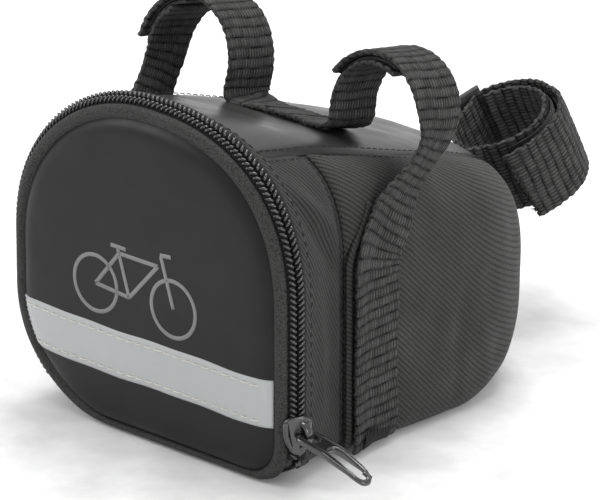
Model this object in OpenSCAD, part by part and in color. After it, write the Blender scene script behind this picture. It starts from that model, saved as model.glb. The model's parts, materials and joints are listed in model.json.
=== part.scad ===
// Saddle bag for a bicycle: a padded D-shaped bag with a zipped lid, two rail straps and a post strap.
// Millimetres. +Z is up, -Y is the side the lid faces, and the origin is the middle of the flat base.
// t is the distance behind the lid's face, and phi the angle around a cross-section, 0 at +X.

/* [Bag body] */
// Depth from the lid's face to the rearmost point of the bag
depth = 138; // [125:1:150]
// Width over the body behind the zip
body_w = 103.6; // [96:0.2:108]
// Fall of the top edge for each millimetre towards the rear
top_fall = 0.33; // [0.2:0.01:0.4]
// Radius of the bottom corners at the lid
base_r = 11; // [8:1:16]
// Radius of the bottom corners halfway along the bag
mid_r = 6; // [5:1:11]
// Radius of the bottom corners near the rear
rear_r = 22; // [12:1:24]
// Radius of the lid's lower left corner, which slumps
left_r = 36; // [24:1:38]
// Thickness of the outer fabric
skin_t = 1.5; // [1:0.1:2]
// Thickness of the padding
foam_t = 3; // [2:0.1:4]
// Thickness of the lining
lining_t = 0.8; // [0.5:0.1:1]

/* [Lid and zip] */
// Width across the zip
zip_w = 112; // [108:0.5:116]
// Height of the zip above the base
zip_h = 105; // [100:0.5:110]
// Width of the lid's face panel
face_w = 103; // [100:0.5:104]
// Height of the top of the lid's face panel
face_h = 100.5; // [98:0.5:101]
// Distance of the zip's centre line behind the lid's face
zip_at = 6; // [6:0.1:7]
// Height of the reflective stripe
stripe_h = 15; // [10:0.5:20]
// Height of the stripe's lower edge above the base
stripe_z = 18.3; // [14:0.1:30]

/* [Straps] */
// Width of the rail strap webbing
rail_strap_w = 20; // [16:1:25]
// Thickness of the webbing
web_t = 1.5; // [1:0.1:2]
// Distance of each rail loop's centre from the middle
loop_x = 38; // [34:0.5:42]
// Height of each rail loop's centre
loop_z = 96; // [95:0.5:104]
// Distance of the rail loops behind the lid's face
loop_at = 67; // [66:1:74]
// Inside radius of the rail loops
loop_r = 14.6; // [12:0.1:16]
// Lean of the rail loops towards the rear, in degrees
loop_lean = 11; // [6:1:16]
// Width of the seat-post strap webbing
post_strap_w = 25; // [20:1:28]
// Inside radius of the seat-post loop
post_r = 14.7; // [13.6:0.1:16]
// Distance of the seat-post loop behind the lid's face
post_at = 163; // [160:1:168]
// Height of the middle of the seat-post loop
post_z = 50; // [48:1:54]

/* [Slider and pull] */
// Height of the parked slider above the base
slider_z = 17; // [16:0.5:24]
// Length of the pull tab
pull_l = 26; // [20:1:28]
// Droop of the pull tab at rest, in degrees
pull_droop = 9; // [5:1:15]

/* [Hidden] */
$fn = 48;
eps = 0.01;
clear = 0.3;                      // gap left between soft pieces
origin_t = 65;                    // the base's middle, behind the lid's face
body_t = zip_at + 3;              // front edge of the body's panels
split_t = 33;                     // seam between front gusset and side panel
cap_t = depth - 4;                // where the rounded rear cap starts
seam_low = -46;                   // phi of the seam between side and bottom
belly = 0.52;                     // height of the widest line, as a share of the section
wrap = skin_t + foam_t + lining_t;

// ---- small helpers ----
function unit(v) = v / norm(v);
function ease(s) = let (c = min(1, max(0, s))) c * c * (3 - 2 * c);
function span(a, b, n) = [for (i = [0:n]) a + (b - a) * i / n];
function rest(list) = [for (i = [1:len(list) - 1]) list[i]];
function backwards(list) = [for (i = [len(list) - 1:-1:0]) list[i]];
function flip_x(path) = [for (p = path) [-p[0], p[1], p[2]]];
module from_face() { translate([0, -origin_t, 0]) children(); }

// ---- the body's surface ----
// Half width, top and bottom of the cross-section t behind the lid's face
function rear_q(t) = max(0, (t - 85) / (depth - 85));
function half_w(t) =
  (body_w / 2 + (zip_w - body_w) / 2 * (1 - ease((t - zip_at) / 22))) * pow(1 - pow(rear_q(t), 2.2), 0.45);
function round_off(t, r) = let (q = max(0, (t - depth + r) / r)) r * (1 - sqrt(max(0, 1 - q * q)));
function top_z(t) = zip_h - top_fall * (t - zip_at) - round_off(t, 24);
function base_z(t) = round_off(t, 34);
// The left side (1) slumps towards the lid; the right side (0) keeps its shape
function left(phi) = cos(phi) < 0 ? 1 : 0;
function slump(t, phi) = left(phi) * (1 - ease((t - zip_at) / 40));
function arch_power(t, phi) =
  2.4 + 1.9 * ease((t - zip_at) / 50) * (1 - 0.75 * ease((t - 90) / 40)) - 0.4 * slump(t, phi);
function corner_r(t, phi) =
  base_r + (left_r - base_r) * slump(t, phi)
  + (mid_r - base_r) * ease((t - 12) / 28) + (rear_r - mid_r) * ease((t - 84) / 40);
// Distance from the centre to a rounded box w by b, with corner radius r, in direction phi
function box_ray(phi, w, b, r) = let (
    c = abs(cos(phi)), s = abs(sin(phi)), kx = w - r, kz = b - r, k = kx * c + kz * s
  )
  w * s <= kz * c ? w / c :
  b * c <= kx * s ? b / s :
  k + sqrt(max(0, k * k - kx * kx - kz * kz + r * r));
function arch_ray(phi, w, b, n) = pow(pow(abs(cos(phi)) / w, n) + pow(abs(sin(phi)) / b, n), -1 / n);
// A point of a D-shaped outline: half width w, from z0 up to z1, arch power n, bottom corners r
function d_point(phi, w, z0, z1, n, r) = let (
    zc = z0 + (z1 - z0) * belly,
    d = sin(phi) >= 0 ? arch_ray(phi, w, z1 - zc, n) : box_ray(phi, w, zc - z0, r)
  )
  [d * cos(phi), zc + d * sin(phi)];
// A point of the body, inset by d (negative is outside)
function body_point(t, phi, d = 0) = let (
    w = half_w(t) - d, z0 = base_z(t) + d, z1 = top_z(t) - d,
    p = d_point(phi, w, z0, z1, arch_power(t, phi), min(max(3, corner_r(t, phi) - d), 0.7 * w))
  )
  [p[0], t - origin_t, p[1]];
// The seam between the smooth top and the side, as phi
function seam_top(t) = 50.5 - 5 * ease((t - 12) / 80);
// Stations closer together where the rear rounds off
function stations(a, b, n) = [for (s = span(0, 1, n)) a + (b - a) * (1.25 * s - 0.25 * s * s)];

// ---- solids between two grids of points, and along a path ----
module skin(outer, inner, loop = false) {
  m = len(outer);
  n = len(outer[0]);
  o = m * n;
  last = loop ? n - 1 : n - 2;
  function at(i, j, k = 0) = k * o + i * n + j % n;
  function quad(a, b, c, d) = [[a, b, c], [a, c, d]];
  faces = concat(
    [for (i = [0:m - 2], j = [0:last])
      each quad(at(i, j), at(i, j + 1), at(i + 1, j + 1), at(i + 1, j))],
    [for (i = [0:m - 2], j = [0:last])
      each quad(at(i, j, 1), at(i + 1, j, 1), at(i + 1, j + 1, 1), at(i, j + 1, 1))],
    [for (j = [0:last]) each quad(at(0, j), at(0, j, 1), at(0, j + 1, 1), at(0, j + 1))],
    [for (j = [0:last]) each quad(at(m - 1, j), at(m - 1, j + 1), at(m - 1, j + 1, 1), at(m - 1, j, 1))],
    loop ? [] : [for (i = [0:m - 2])
      each quad(at(i, 0), at(i + 1, 0), at(i + 1, 0, 1), at(i, 0, 1))],
    loop ? [] : [for (i = [0:m - 2])
      each quad(at(i, n - 1), at(i, n - 1, 1), at(i + 1, n - 1, 1), at(i + 1, n - 1))]
  );
  polyhedron(concat([for (r = outer) each r], [for (r = inner) each r]), faces, convexity = 6);
}
// Angles around a section. They crowd in the corners, and panels that meet share the seam's angle.
side_mid = [-43, -40, -37, -34, -31, -28, -18, -6, 6, 17, 26, 33, 39];
top_mid = [55, 60, 67, 78, 90, 102, 113, 120, 125];
base_mid = [229, 232, 235, 239, 245, 258, 270, 282, 295, 301, 305, 308, 311];
function side_phis(t) = concat([seam_low], side_mid, [seam_top(t)]);
function top_phis(t) = concat([seam_top(t)], top_mid, [180 - seam_top(t)]);
function base_phis() = concat([180 - seam_low], base_mid, [360 + seam_low]);
function left_phis(t) = [for (f = backwards(side_phis(t))) 180 - f];
function around(t) = concat(side_phis(t), top_mid, left_phis(t), base_mid);
// Grid of body points: one row of angles for each station, at inset d
function body_grid(ts, rows, d) = [for (i = [0:len(ts) - 1]) [for (f = rows[i]) body_point(ts[i], f, d)]];
module body_patch(ts, rows, d0, d1) { skin(body_grid(ts, rows, d0), body_grid(ts, rows, d1)); }
// Rounded cap on the section at cap_t, inset by d
cap_steps = [1, 0.86, 0.7, 0.5, 0.28, 0.06];
function cap_grid(d) = [for (k = cap_steps) [for (f = around(cap_t)) let (
    p = body_point(cap_t, f, d),
    zc = (top_z(cap_t) + base_z(cap_t)) / 2,
    bulge = (depth - cap_t) * (1 - k * k)
  )
  [p[0] * k, cap_t - origin_t + bulge - d * min(1, 4 * (1 - k)), zc + (p[2] - zc) * k]]];
// Flat strip of half width hw and thickness th along a path; across gives its width direction
module ribbon(path, across, hw, th, lift = 0) {
  n = len(path);
  function normal(i) = unit(cross(across[i], path[min(i + 1, n - 1)] - path[max(i - 1, 0)]));
  rings = [for (i = [0:n - 1]) let (c = path[i], w = hw * unit(across[i]), u = normal(i))
    [c + w + (lift + th / 2) * u, c - w + (lift + th / 2) * u,
     c - w + (lift - th / 2) * u, c + w + (lift - th / 2) * u]];
  faces = concat(
    [[0, 1, 2], [0, 2, 3]],
    [for (i = [0:n - 2], k = [0:3]) let (a = 4 * i + k, b = 4 * i + (k + 1) % 4)
      each [[a, a + 4, b + 4], [a, b + 4, b]]],
    let (e = 4 * (n - 1)) [[e, e + 2, e + 1], [e, e + 3, e + 2]]
  );
  polyhedron([for (r = rings) each r], faces, convexity = 6);
}

// ---- body panels ----
gusset_ts = span(body_t, split_t, 4);
side_ts = stations(split_t, cap_t, 10);
body_ts = concat(gusset_ts, rest(side_ts));
// Stations of the layers inside: they start just behind the panels' edge and stop before the cap
layer_ts = concat([body_t + 0.2], [for (i = [1:len(body_ts) - 2]) body_ts[i]]);
module top_panel() {
  color("#46464a") body_patch(body_ts, [for (t = body_ts) top_phis(t)], 0, skin_t);
}
module bottom_panel() {
  color("#3c3c3f") body_patch(body_ts, [for (t = body_ts) base_phis()], 0, skin_t);
}
module rear_panel() { color("#46464a") skin(cap_grid(0), cap_grid(skin_t), loop = true); }
module right_patch(ts) { body_patch(ts, [for (t = ts) side_phis(t)], 0, skin_t); }
module left_patch(ts) { body_patch(ts, [for (t = ts) left_phis(t)], 0, skin_t); }
module right_side_panel() { color("#404043") right_patch(side_ts); }
module left_side_panel() { color("#404043") left_patch(side_ts); }
module right_front_gusset() { color("#4a4a4e") right_patch(gusset_ts); }
module left_front_gusset() { color("#4a4a4e") left_patch(gusset_ts); }
module layer(d0, d1) {
  rows = [for (t = layer_ts) around(t)];
  skin(body_grid(layer_ts, rows, d0), body_grid(layer_ts, rows, d1), loop = true);
}
module body_foam() { color("#8d8f94") layer(skin_t + clear, skin_t + foam_t); }
module body_lining() { color("#2f3033") layer(skin_t + foam_t + 0.1, wrap + 0.1); }
module base_board() {
  color("#77797d") from_face() translate([-34, 32, wrap + 0.25]) cube([70, 68, 1]);
}

// ---- zip and hinge ----
zip_low = 8.5;                                             // height of the zip's two ends
zip_from = -atan((zip_h * belly - zip_low) / (zip_w / 2)); // the same as phi
left_turn = asin((left_r - zip_low) / left_r);             // slope of the slumped corner at the zip's left end
zip_to = 180 + atan((zip_h * belly - zip_low) / (zip_w / 2 - left_r + left_r * cos(left_turn)));
coil_t = 2.2;
coil_w = 1.4;
coil_gap = 0.6;
tape_t = 0.6;
tape_inset = 1.1;                                          // the tape's outer side, inside the zip line
// Band around the zip line from t0 to t1, between insets d0 and d1
function lid_outline(phi, w, z0, z1) =
  d_point(phi, w, z0, z1, arch_power(zip_at, phi), corner_r(zip_at, phi));
function ring_point(t, phi, d) = let (p = lid_outline(phi, zip_w / 2 - d, d, zip_h - d))
  [p[0], t - origin_t, p[1]];
module zip_band(t0, t1, d0, d1) {
  phis = span(zip_from, zip_to, 58);
  skin([for (t = [t0, t1]) [for (f = phis) ring_point(t, f, d0)]],
    [for (t = [t0, t1]) [for (f = phis) ring_point(t, f, d1)]]);
}
module tape_band(t0, t1) { color("#38383b") zip_band(t0, t1, tape_inset, tape_inset + tape_t); }
module coil_band(t0, t1) { color("#1d1d1f") zip_band(t0, t1, tape_inset - coil_t, tape_inset); }
module zip_tape_body() { tape_band(zip_at + coil_gap / 2, body_t); }
module zip_coil_body() { coil_band(zip_at + coil_gap / 2, zip_at + coil_gap / 2 + coil_w); }
module zip_tape_lid() { tape_band(3.2, zip_at - coil_gap / 2); }
module zip_coil_lid() { coil_band(zip_at - coil_gap / 2 - coil_w, zip_at - coil_gap / 2); }
module zip_end_stops() {
  stop = [2.2, 2, 2.4];
  color("#26262a") from_face() {
    translate([zip_w / 2 - 1.8, zip_at + coil_gap / 2, zip_low - 3]) cube(stop);
    translate([left_r - zip_w / 2, zip_at + coil_gap / 2, left_r]) rotate([0, -left_turn - 3.6, 0])
      translate([-left_r - 0.4, 0, -stop[2] / 2]) cube(stop);
  }
}
module hinge_strip() {
  left_end = left_r - zip_w / 2 + 2;
  color("#3c3c3f") from_face() translate([left_end, zip_at + coil_gap / 2, 0.1]) cube([38 - left_end, 2.6, 1.1]);
}

// ---- lid ----
lid_shell_t = 1.2;
lid_phis = around(body_t);
function face_outline(g) = [for (f = lid_phis) lid_outline(f, face_w / 2 - g, 2 + g, face_h - g)];
module face_plate(g, t0, th) {
  from_face() translate([0, t0 + th, 0]) rotate([90, 0, 0]) linear_extrude(th) polygon(face_outline(g));
}
module lid_face_panel() { color("#3b3b39") face_plate(0, 0, lid_shell_t); }
module lid_foam() { color("#8d8f94") face_plate(2.5, lid_shell_t + 0.05, foam_t); }
module lid_lining() { color("#2f3033") face_plate(2.5, lid_shell_t + foam_t + 0.1, lining_t); }
module lid_gusset() {
  rims = [[1.25, 0.2, 0.1], [3.2, 0.75, 0.9]];   // t, then how far the strip has flared, and its inset
  function rim(t, flare, d) = [for (f = lid_phis) let (
      p = lid_outline(f, face_w / 2 + (zip_w - face_w) / 2 * flare - d, 2 * (1 - flare) + d,
        face_h + (zip_h - face_h) * flare - d))
    [p[0], t - origin_t, p[1]]];
  color("#47474a")
    skin([for (r = rims) rim(r[0], r[1], 0)], [for (r = rims) rim(r[0], r[1], 1)], loop = true);
}
module reflective_stripe() {
  color("#b9babc") from_face() intersection() {
    translate([0, -0.05, 0]) rotate([90, 0, 0]) linear_extrude(0.5) polygon(face_outline(0.6));
    translate([-60, -5, stripe_z]) cube([120, 10, stripe_h]);
  }
}
wheel_r = 9.5;
wheel_gap = 32;
emblem_z = 46;
emblem_bar = 1.3;
module bar(a, b) {
  d = b - a;
  translate(a) rotate(atan2(d[1], d[0])) translate([0, -emblem_bar / 2]) square([norm(d), emblem_bar]);
}
module emblem() {
  rear_hub = [-wheel_gap / 2, 0];
  front_hub = [wheel_gap / 2, 0];
  crank = [-2, -1];
  seat = [-6, 12];
  head = [10, 12];
  color("#8e8f91") from_face() translate([-3, -0.05, emblem_z]) rotate([90, 0, 0]) linear_extrude(0.35) {
    for (hub = [rear_hub, front_hub]) translate(hub) difference() {
      circle(wheel_r);
      circle(wheel_r - emblem_bar);
    }
    for (b = [[rear_hub, crank], [rear_hub, seat], [crank, seat], [seat, head], [crank, head],
              [head, front_hub], [seat + [-3, 2], seat + [3, 2]], [head, head + [1, 4]],
              [head + [0, 4], head + [5, 4]]])
      bar(b[0], b[1]);
  }
}

// ---- slider and pull ----
slider_l = 12;
plate_t = 1.2;
coil_out = zip_w / 2 + coil_t - tape_inset;          // X of the coil's outer side
tape_in = zip_w / 2 - tape_inset - tape_t;           // X of the tape's inner side
plate_gap = 0.5;                                     // between the tape and the slider's inner plate
plate_x = coil_out + 0.3;
bail_x = plate_x + plate_t + 1.45;                   // X of the pull's axis
bail_l = 8;
pull_t = 1.6;
pull_w = 8;
slot_w = 3.4;
module slider_body() {
  color("#202022") from_face() translate([0, zip_at, slider_z]) {
    translate([plate_x, -4.2, -slider_l / 2]) cube([plate_t, 8.4, slider_l]);
    translate([tape_in - plate_gap - plate_t, -2.6, -slider_l / 2]) cube([plate_t, 5.2, slider_l]);
    translate([tape_in - plate_gap - eps, -0.14, -slider_l / 2])
      cube([plate_x - tape_in + plate_gap + 2 * eps, 0.28, 5]);
    difference() {
      translate([plate_x + plate_t - eps, -1.1, -bail_l / 2]) cube([4.1, 2.2, bail_l]);
      translate([plate_x + plate_t, -2, -bail_l / 2 + 1.2]) cube([2.9, 4, bail_l - 2.4]);
    }
  }
}
module pull_tab() {
  tip_w = 6;
  color("#202022") from_face() translate([bail_x, zip_at, slider_z]) rotate([0, pull_droop, 0])
    translate([0, 0, -pull_t / 2]) linear_extrude(pull_t) difference() {
      union() {
        polygon([[-0.8, -3.2], [1, -pull_w / 2], [8, -pull_w / 2], [pull_l - tip_w / 2, -tip_w / 2],
                 [pull_l - tip_w / 2, tip_w / 2], [8, pull_w / 2], [1, pull_w / 2], [-0.8, 3.2]]);
        translate([pull_l - tip_w / 2, 0]) circle(tip_w / 2);
      }
      translate([0.8, -slot_w / 2]) square([5.2, slot_w]);
      hull() for (x = [11, pull_l - tip_w / 2]) translate([x, 0]) circle(1.7);
    }
}

// ---- rail straps ----
half_rail = rail_strap_w / 2;
loop_out = [0, sin(loop_lean), cos(loop_lean)];        // up, in the plane of a loop
loop_across = [0, cos(loop_lean), -sin(loop_lean)];    // along the strap's width
inner_r = loop_r + web_t / 2;                          // middle of the inner layer
patch_t = 0.9;
outer_r = loop_r + 1.5 * web_t + 2 * patch_t + clear;  // middle of the outer layer
loop_mid = [loop_x, loop_at - origin_t, loop_z];
function loop_point(r, a) = loop_mid + r * cos(a) * [1, 0, 0] + r * sin(a) * loop_out;
function arc_path(r, a0, a1, n) = [for (a = span(a0, a1, n)) loop_point(r, a)];
function all_across(path, v) = [for (p = path) v];
// Where the side webbing lies: it leans forward on its way down, and leaves the bag at phi = 30
function side_at(phi) = 43.5 + 12 * ease((phi - 10) / 24);
side_lift = 1.3;
side_steps = concat(span(-42, -30, 6), span(-24, 30, 9));
function side_path() = [for (f = side_steps) body_point(side_at(f), f, -side_lift)];
function side_across() = [for (f = side_steps)
  body_point(side_at(f) + 5, f, -side_lift) - body_point(side_at(f) - 5, f, -side_lift)];
// The flat run over the top panel, from x = 14 down to the middle
function top_run() = [for (f = span(74, 90, 3)) body_point(loop_at, f, -web_t / 2 - 0.2)];
function top_run_across() = [for (f = span(74, 90, 3))
  body_point(loop_at + 5, f) - body_point(loop_at - 5, f)];
module loop_strip(r, a0, a1, n, th, hw = half_rail) {
  path = arc_path(r, a0, a1, n);
  ribbon(path, all_across(path, loop_across), hw, th);
}
// Where an inner leg turns down to the top panel, from its loop: high enough to clear the cloth
leg_foot = [-1.5, -0.5, -0.7];
// One side of the centre webbing: up the inner leg from the top panel, along radius r to angle a1
function leg_path(r, a1) = concat(
  backwards(top_run()),
  [loop_point(r, 205) + leg_foot],
  arc_path(r, 200, a1, 12));
function leg_across(r, a1) = concat(
  backwards(top_run_across()),
  [for (i = [0:13]) loop_across]);
module centre_webbing() {
  right = leg_path(inner_r, 62);
  left = flip_x(leg_path(outer_r, 92));
  right_w = leg_across(inner_r, 62);
  left_w = flip_x(leg_across(outer_r, 92));
  path = concat(backwards(left), rest(right));
  across = concat(backwards(left_w), rest(right_w));
  color("#4b4b4f") ribbon(path, across, half_rail, web_t);
}
module side_webbing(r, a1) {
  path = concat(side_path(), arc_path(r, -10, a1, 12));
  across = concat(side_across(), [for (i = [0:12]) loop_across]);
  color("#4b4b4f") ribbon(path, across, half_rail, web_t);
}
module right_side_webbing() { side_webbing(outer_r, 88); }
module left_side_webbing() { mirror([1, 0, 0]) side_webbing(inner_r, 62); }
// Free end of a strap in the outer layer, its hook patch under it, and the loop patch on the inner layer
patch_gap = 0.12;
patch_hw = half_rail - 1.5;
hook_r = outer_r - web_t / 2 - patch_t / 2 - patch_gap;
loop_side_r = inner_r + web_t / 2 + patch_t / 2 + patch_gap;
module strap_tab(a0, a1) { color("#55555a") loop_strip(outer_r, a0, a1, 12, web_t); }
module hook_patch(a0, a1) { color("#2b2b2e") loop_strip(hook_r, a0, a1, 12, patch_t, patch_hw); }
module leg_patch(a0, a1) { color("#343438") loop_strip(loop_side_r, a0, a1, 16, patch_t, patch_hw); }
module right_strap_tab() { strap_tab(91.5, 152); }
module right_tab_hook_patch() { hook_patch(96, 149); }
module left_strap_tab() { mirror([1, 0, 0]) strap_tab(88.5, 6); }
module left_tab_hook_patch() { mirror([1, 0, 0]) hook_patch(84, 9); }
module right_leg_loop_patch() { leg_patch(66, 176); }
module left_leg_loop_patch() { mirror([1, 0, 0]) leg_patch(4, 80); }
// Rows of thread over the ends of the straps, where they are sewn to the bag
tack_t = 0.5;
tack_top = web_t + 0.3;
tack_low = side_lift + web_t / 2 + 0.1;
module bartacks() {
  color("#1f1f21") for (side = [0, 1]) mirror([side, 0, 0]) {
    body_patch([loop_at - 8, loop_at + 8], [for (i = [0, 1]) [82, 83.5, 85]],
      -tack_top - tack_t, -tack_top);
    body_patch([37.5, 49.5], [for (i = [0, 1]) [-41, -39.5, -38]], -tack_low - tack_t, -tack_low);
  }
}

// ---- seat-post strap ----
post_axis = unit([-0.15, -0.42, 1]);
post_u = unit([1, 0, 0] - post_axis[0] * post_axis);
post_v = cross(post_axis, post_u);
post_mid = [2, post_at - origin_t, post_z];
half_post = post_strap_w / 2;
post_inner_r = post_r + web_t / 2;
post_outer_r = post_r + 1.5 * web_t + 2 * patch_t + clear;
function post_point(r, a) = post_mid + r * cos(a) * post_u + r * sin(a) * post_v;
function post_path(r, a0, a1, n, grow = 0) = [for (s = span(0, 1, n))
  post_point(r + grow * s, a0 + (a1 - a0) * s)];
// The two layers leave the bag's rear side by side, and turn to the loop's axis on the way
neck_z = 44;
neck_gap = 0.85;
neck_across = unit([-0.15, -0.05, 1]);
function neck(side) = [for (d = [1.6, 4.5])
  [1.5 + side * neck_gap, depth + d - origin_t, neck_z - d / 3]];
function neck_turn(path) = [for (i = [0:len(path) + 1])
  i == 0 ? neck_across : i == 1 ? unit(neck_across + post_axis) : post_axis];
module post_ribbon(path, th, hw = half_post) { ribbon(path, all_across(path, post_axis), hw, th); }
module post_layer(side, path) {
  color("#4b4b4f") ribbon(concat(neck(side), path), neck_turn(path), half_post, web_t);
}
post_patch_hw = half_post - 2;
post_hook_r = post_outer_r - web_t / 2 - patch_t / 2 - patch_gap;
post_loop_r = post_inner_r + web_t / 2 + patch_t / 2 + patch_gap;
module post_strap_inner() { post_layer(1, post_path(post_inner_r, -72, 150, 24)); }
module post_strap_outer() {
  post_layer(-1, concat(post_path(post_inner_r, -108, -185, 8), post_path(post_outer_r, -205, -298, 10)));
}
module post_strap_end() { color("#55555a") post_ribbon(post_path(post_outer_r, 61, -42, 16, 5), web_t); }
module post_hook_patch() {
  color("#2b2b2e") post_ribbon(post_path(post_hook_r + 0.25, 56, -38, 14, 4.5), patch_t, post_patch_hw);
}
module post_loop_patch() {
  color("#343438") post_ribbon(post_path(post_loop_r, -40, 145, 24), patch_t, post_patch_hw);
}
module post_strap_sleeve() {
  sleeve_t = 1.1;
  sleeve_r = post_outer_r + (web_t + sleeve_t) / 2 + 0.1;
  path = [for (p = post_path(sleeve_r, 150, 172, 4)) p + 1.5 * post_axis];
  color("#6a6b6f") post_ribbon(path, sleeve_t);
}
module rear_anchor_patch() {
  color("#46464a") from_face() translate([-13, depth + 0.05, 28]) cube([30, 0.8, 24]);
}

top_panel();
rear_panel();
bottom_panel();
right_side_panel();
left_side_panel();
right_front_gusset();
left_front_gusset();
body_foam();
body_lining();
base_board();
hinge_strip();
zip_tape_body();
zip_coil_body();
zip_end_stops();
centre_webbing();
right_side_webbing();
left_side_webbing();
right_leg_loop_patch();
left_leg_loop_patch();
bartacks();
rear_anchor_patch();
post_strap_inner();
post_strap_outer();
post_loop_patch();
post_strap_sleeve();
lid_face_panel();
lid_foam();
lid_lining();
lid_gusset();
zip_tape_lid();
zip_coil_lid();
reflective_stripe();
emblem();
slider_body();
pull_tab();
right_strap_tab();
right_tab_hook_patch();
left_strap_tab();
left_tab_hook_patch();
post_strap_end();
post_hook_patch();
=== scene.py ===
import json
import math

import bmesh
import bpy
import numpy as np
from mathutils import Matrix, Vector


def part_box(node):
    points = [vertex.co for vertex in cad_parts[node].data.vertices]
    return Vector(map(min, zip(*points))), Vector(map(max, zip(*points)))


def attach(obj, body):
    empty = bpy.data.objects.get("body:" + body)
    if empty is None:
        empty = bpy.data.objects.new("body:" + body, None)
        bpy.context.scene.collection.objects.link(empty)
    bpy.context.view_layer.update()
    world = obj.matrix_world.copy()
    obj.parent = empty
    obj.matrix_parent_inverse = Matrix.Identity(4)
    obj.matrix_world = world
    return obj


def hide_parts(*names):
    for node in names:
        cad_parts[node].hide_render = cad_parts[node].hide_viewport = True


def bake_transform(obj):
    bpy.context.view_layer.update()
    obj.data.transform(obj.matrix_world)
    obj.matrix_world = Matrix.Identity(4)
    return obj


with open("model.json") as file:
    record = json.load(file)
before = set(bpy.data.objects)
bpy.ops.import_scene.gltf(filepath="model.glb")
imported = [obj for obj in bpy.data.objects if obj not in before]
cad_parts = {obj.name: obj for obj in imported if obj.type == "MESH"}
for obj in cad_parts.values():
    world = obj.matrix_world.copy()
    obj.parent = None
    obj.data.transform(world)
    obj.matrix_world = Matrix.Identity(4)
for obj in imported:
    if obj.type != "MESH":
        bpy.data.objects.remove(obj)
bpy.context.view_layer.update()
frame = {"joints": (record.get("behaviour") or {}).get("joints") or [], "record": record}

MM = 0.001
BACK = np.array([0.0, 1.0, 0.0])


# ---- sizes read from the frame, in mm ----
def cad(node):
    low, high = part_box(node)
    return np.array(low) / MM, np.array(high) / MM


ORIGIN_T = -cad("lid_face_panel")[0][1]
FACE_W = cad("lid_face_panel")[1][0] * 2
FACE_H = cad("lid_face_panel")[1][2]
BODY_T = cad("top_panel")[0][1] + ORIGIN_T
SPLIT_T = cad("right_front_gusset")[1][1] + ORIGIN_T
CAP_T = cad("right_side_panel")[1][1] + ORIGIN_T
DEPTH = cad("rear_panel")[1][1] + ORIGIN_T
COIL_OUT = 1.1
ZIP_W = (cad("zip_coil_body")[1][0] - COIL_OUT) * 2
ZIP_H = cad("zip_coil_body")[1][2] - COIL_OUT
ZIP_AT = 6.0
BODY_W = 103.6
TOP_FALL = 0.33
BASE_R, MID_R, REAR_R, LEFT_R = 11.0, 6.0, 22.0, 36.0
BELLY = 0.52
SEAM_LOW = -46.0
SKIN_T, FOAM_T, LINING_T = 1.5, 3.0, 0.8


# ---- the bag's surface, as in the CAD ----
def ease(s):
    c = np.clip(s, 0, 1)
    return c * c * (3 - 2 * c)


def hill(x, width):
    return np.exp(-((x / width) ** 2))


def rounding(t, r):
    q = np.clip((t - DEPTH + r) / r, 0, 1)
    return r * (1 - np.sqrt(1 - q * q))


def half_w(t):
    q = np.clip((t - 85) / (DEPTH - 85), 0, 1)
    front = (ZIP_W - BODY_W) / 2 * (1 - ease((t - ZIP_AT) / 22))
    return (BODY_W / 2 + front) * (1 - q**2.2) ** 0.45


def top_z(t):
    return ZIP_H - TOP_FALL * (t - ZIP_AT) - rounding(t, 24)


def base_z(t):
    return rounding(t, 34)


def slump(t, phi):
    """How much the left side sinks towards the lid: 1 at the zip on the left, 0 on the right."""
    return np.where(np.cos(np.radians(phi)) < 0, 1.0, 0.0) * (1 - ease((t - ZIP_AT) / 40))


def arch_power(t, phi):
    return 2.4 + 1.9 * ease((t - ZIP_AT) / 50) * (1 - 0.75 * ease((t - 90) / 40)) - 0.4 * slump(t, phi)


def corner_r(t, phi):
    return (BASE_R + (LEFT_R - BASE_R) * slump(t, phi) + (MID_R - BASE_R) * ease((t - 12) / 28)
            + (REAR_R - MID_R) * ease((t - 84) / 40))


def outline(phi, w, z0, z1, n, r):
    """Points (x, z) of a D-shaped outline at angles phi in degrees."""
    a = np.radians(phi)
    c, s = np.maximum(np.abs(np.cos(a)), 1e-9), np.maximum(np.abs(np.sin(a)), 1e-9)
    zc = z0 + (z1 - z0) * BELLY
    up, down = z1 - zc, zc - z0
    arch = ((c / w) ** n + (s / up) ** n) ** (-1 / n)
    kx, kz = w - r, down - r
    k = kx * c + kz * s
    corner = k + np.sqrt(np.maximum(0, k * k - kx * kx - kz * kz + r * r))
    lower = np.where(w * s <= kz * c, w / c, np.where(down * c <= kx * s, down / s, corner))
    d = np.where(np.sin(a) >= 0, arch, lower)
    return d * np.cos(a), zc + d * np.sin(a)


def body(t, phi, d=0.0):
    """A point of the body t behind the lid's face, inset by d."""
    t, phi, d = np.broadcast_arrays(np.asarray(t, float), np.asarray(phi, float), np.asarray(d, float))
    w, z0, z1 = half_w(t) - d, base_z(t) + d, top_z(t) - d
    r = np.minimum(np.maximum(3, corner_r(t, phi) - d), 0.7 * w)
    x, z = outline(phi, w, z0, z1, arch_power(t, phi), r)
    return np.stack([x, t - ORIGIN_T, z], -1)


def seam_top(t):
    return 50.5 - 5 * ease((t - 12) / 80)


def lid_outline(phi, w, z0, z1):
    return outline(phi, w, z0, z1, arch_power(ZIP_AT, phi), corner_r(ZIP_AT, phi))


def ring(t, phi, d=0.0):
    """A point of the zip's line, inset by d."""
    t, phi, d = np.broadcast_arrays(np.asarray(t, float), np.asarray(phi, float), np.asarray(d, float))
    x, z = lid_outline(phi, ZIP_W / 2 - d, d, ZIP_H - d)
    return np.stack([x, t - ORIGIN_T, z], -1)


def unit(v):
    return v / np.maximum(np.linalg.norm(v, axis=-1, keepdims=True), 1e-9)


def ripple(p, size, seed):
    """Smooth irregular waves of about that size over points p, from -1 to 1."""
    rng = np.random.default_rng(seed)
    total = np.zeros(p.shape[:-1])
    for _ in range(7):
        k = unit(rng.normal(size=3)) * (2 * np.pi / size) * rng.uniform(0.6, 1.5)
        total += np.sin(p @ k + rng.uniform(0, 6.28))
    return total / 4


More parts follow.
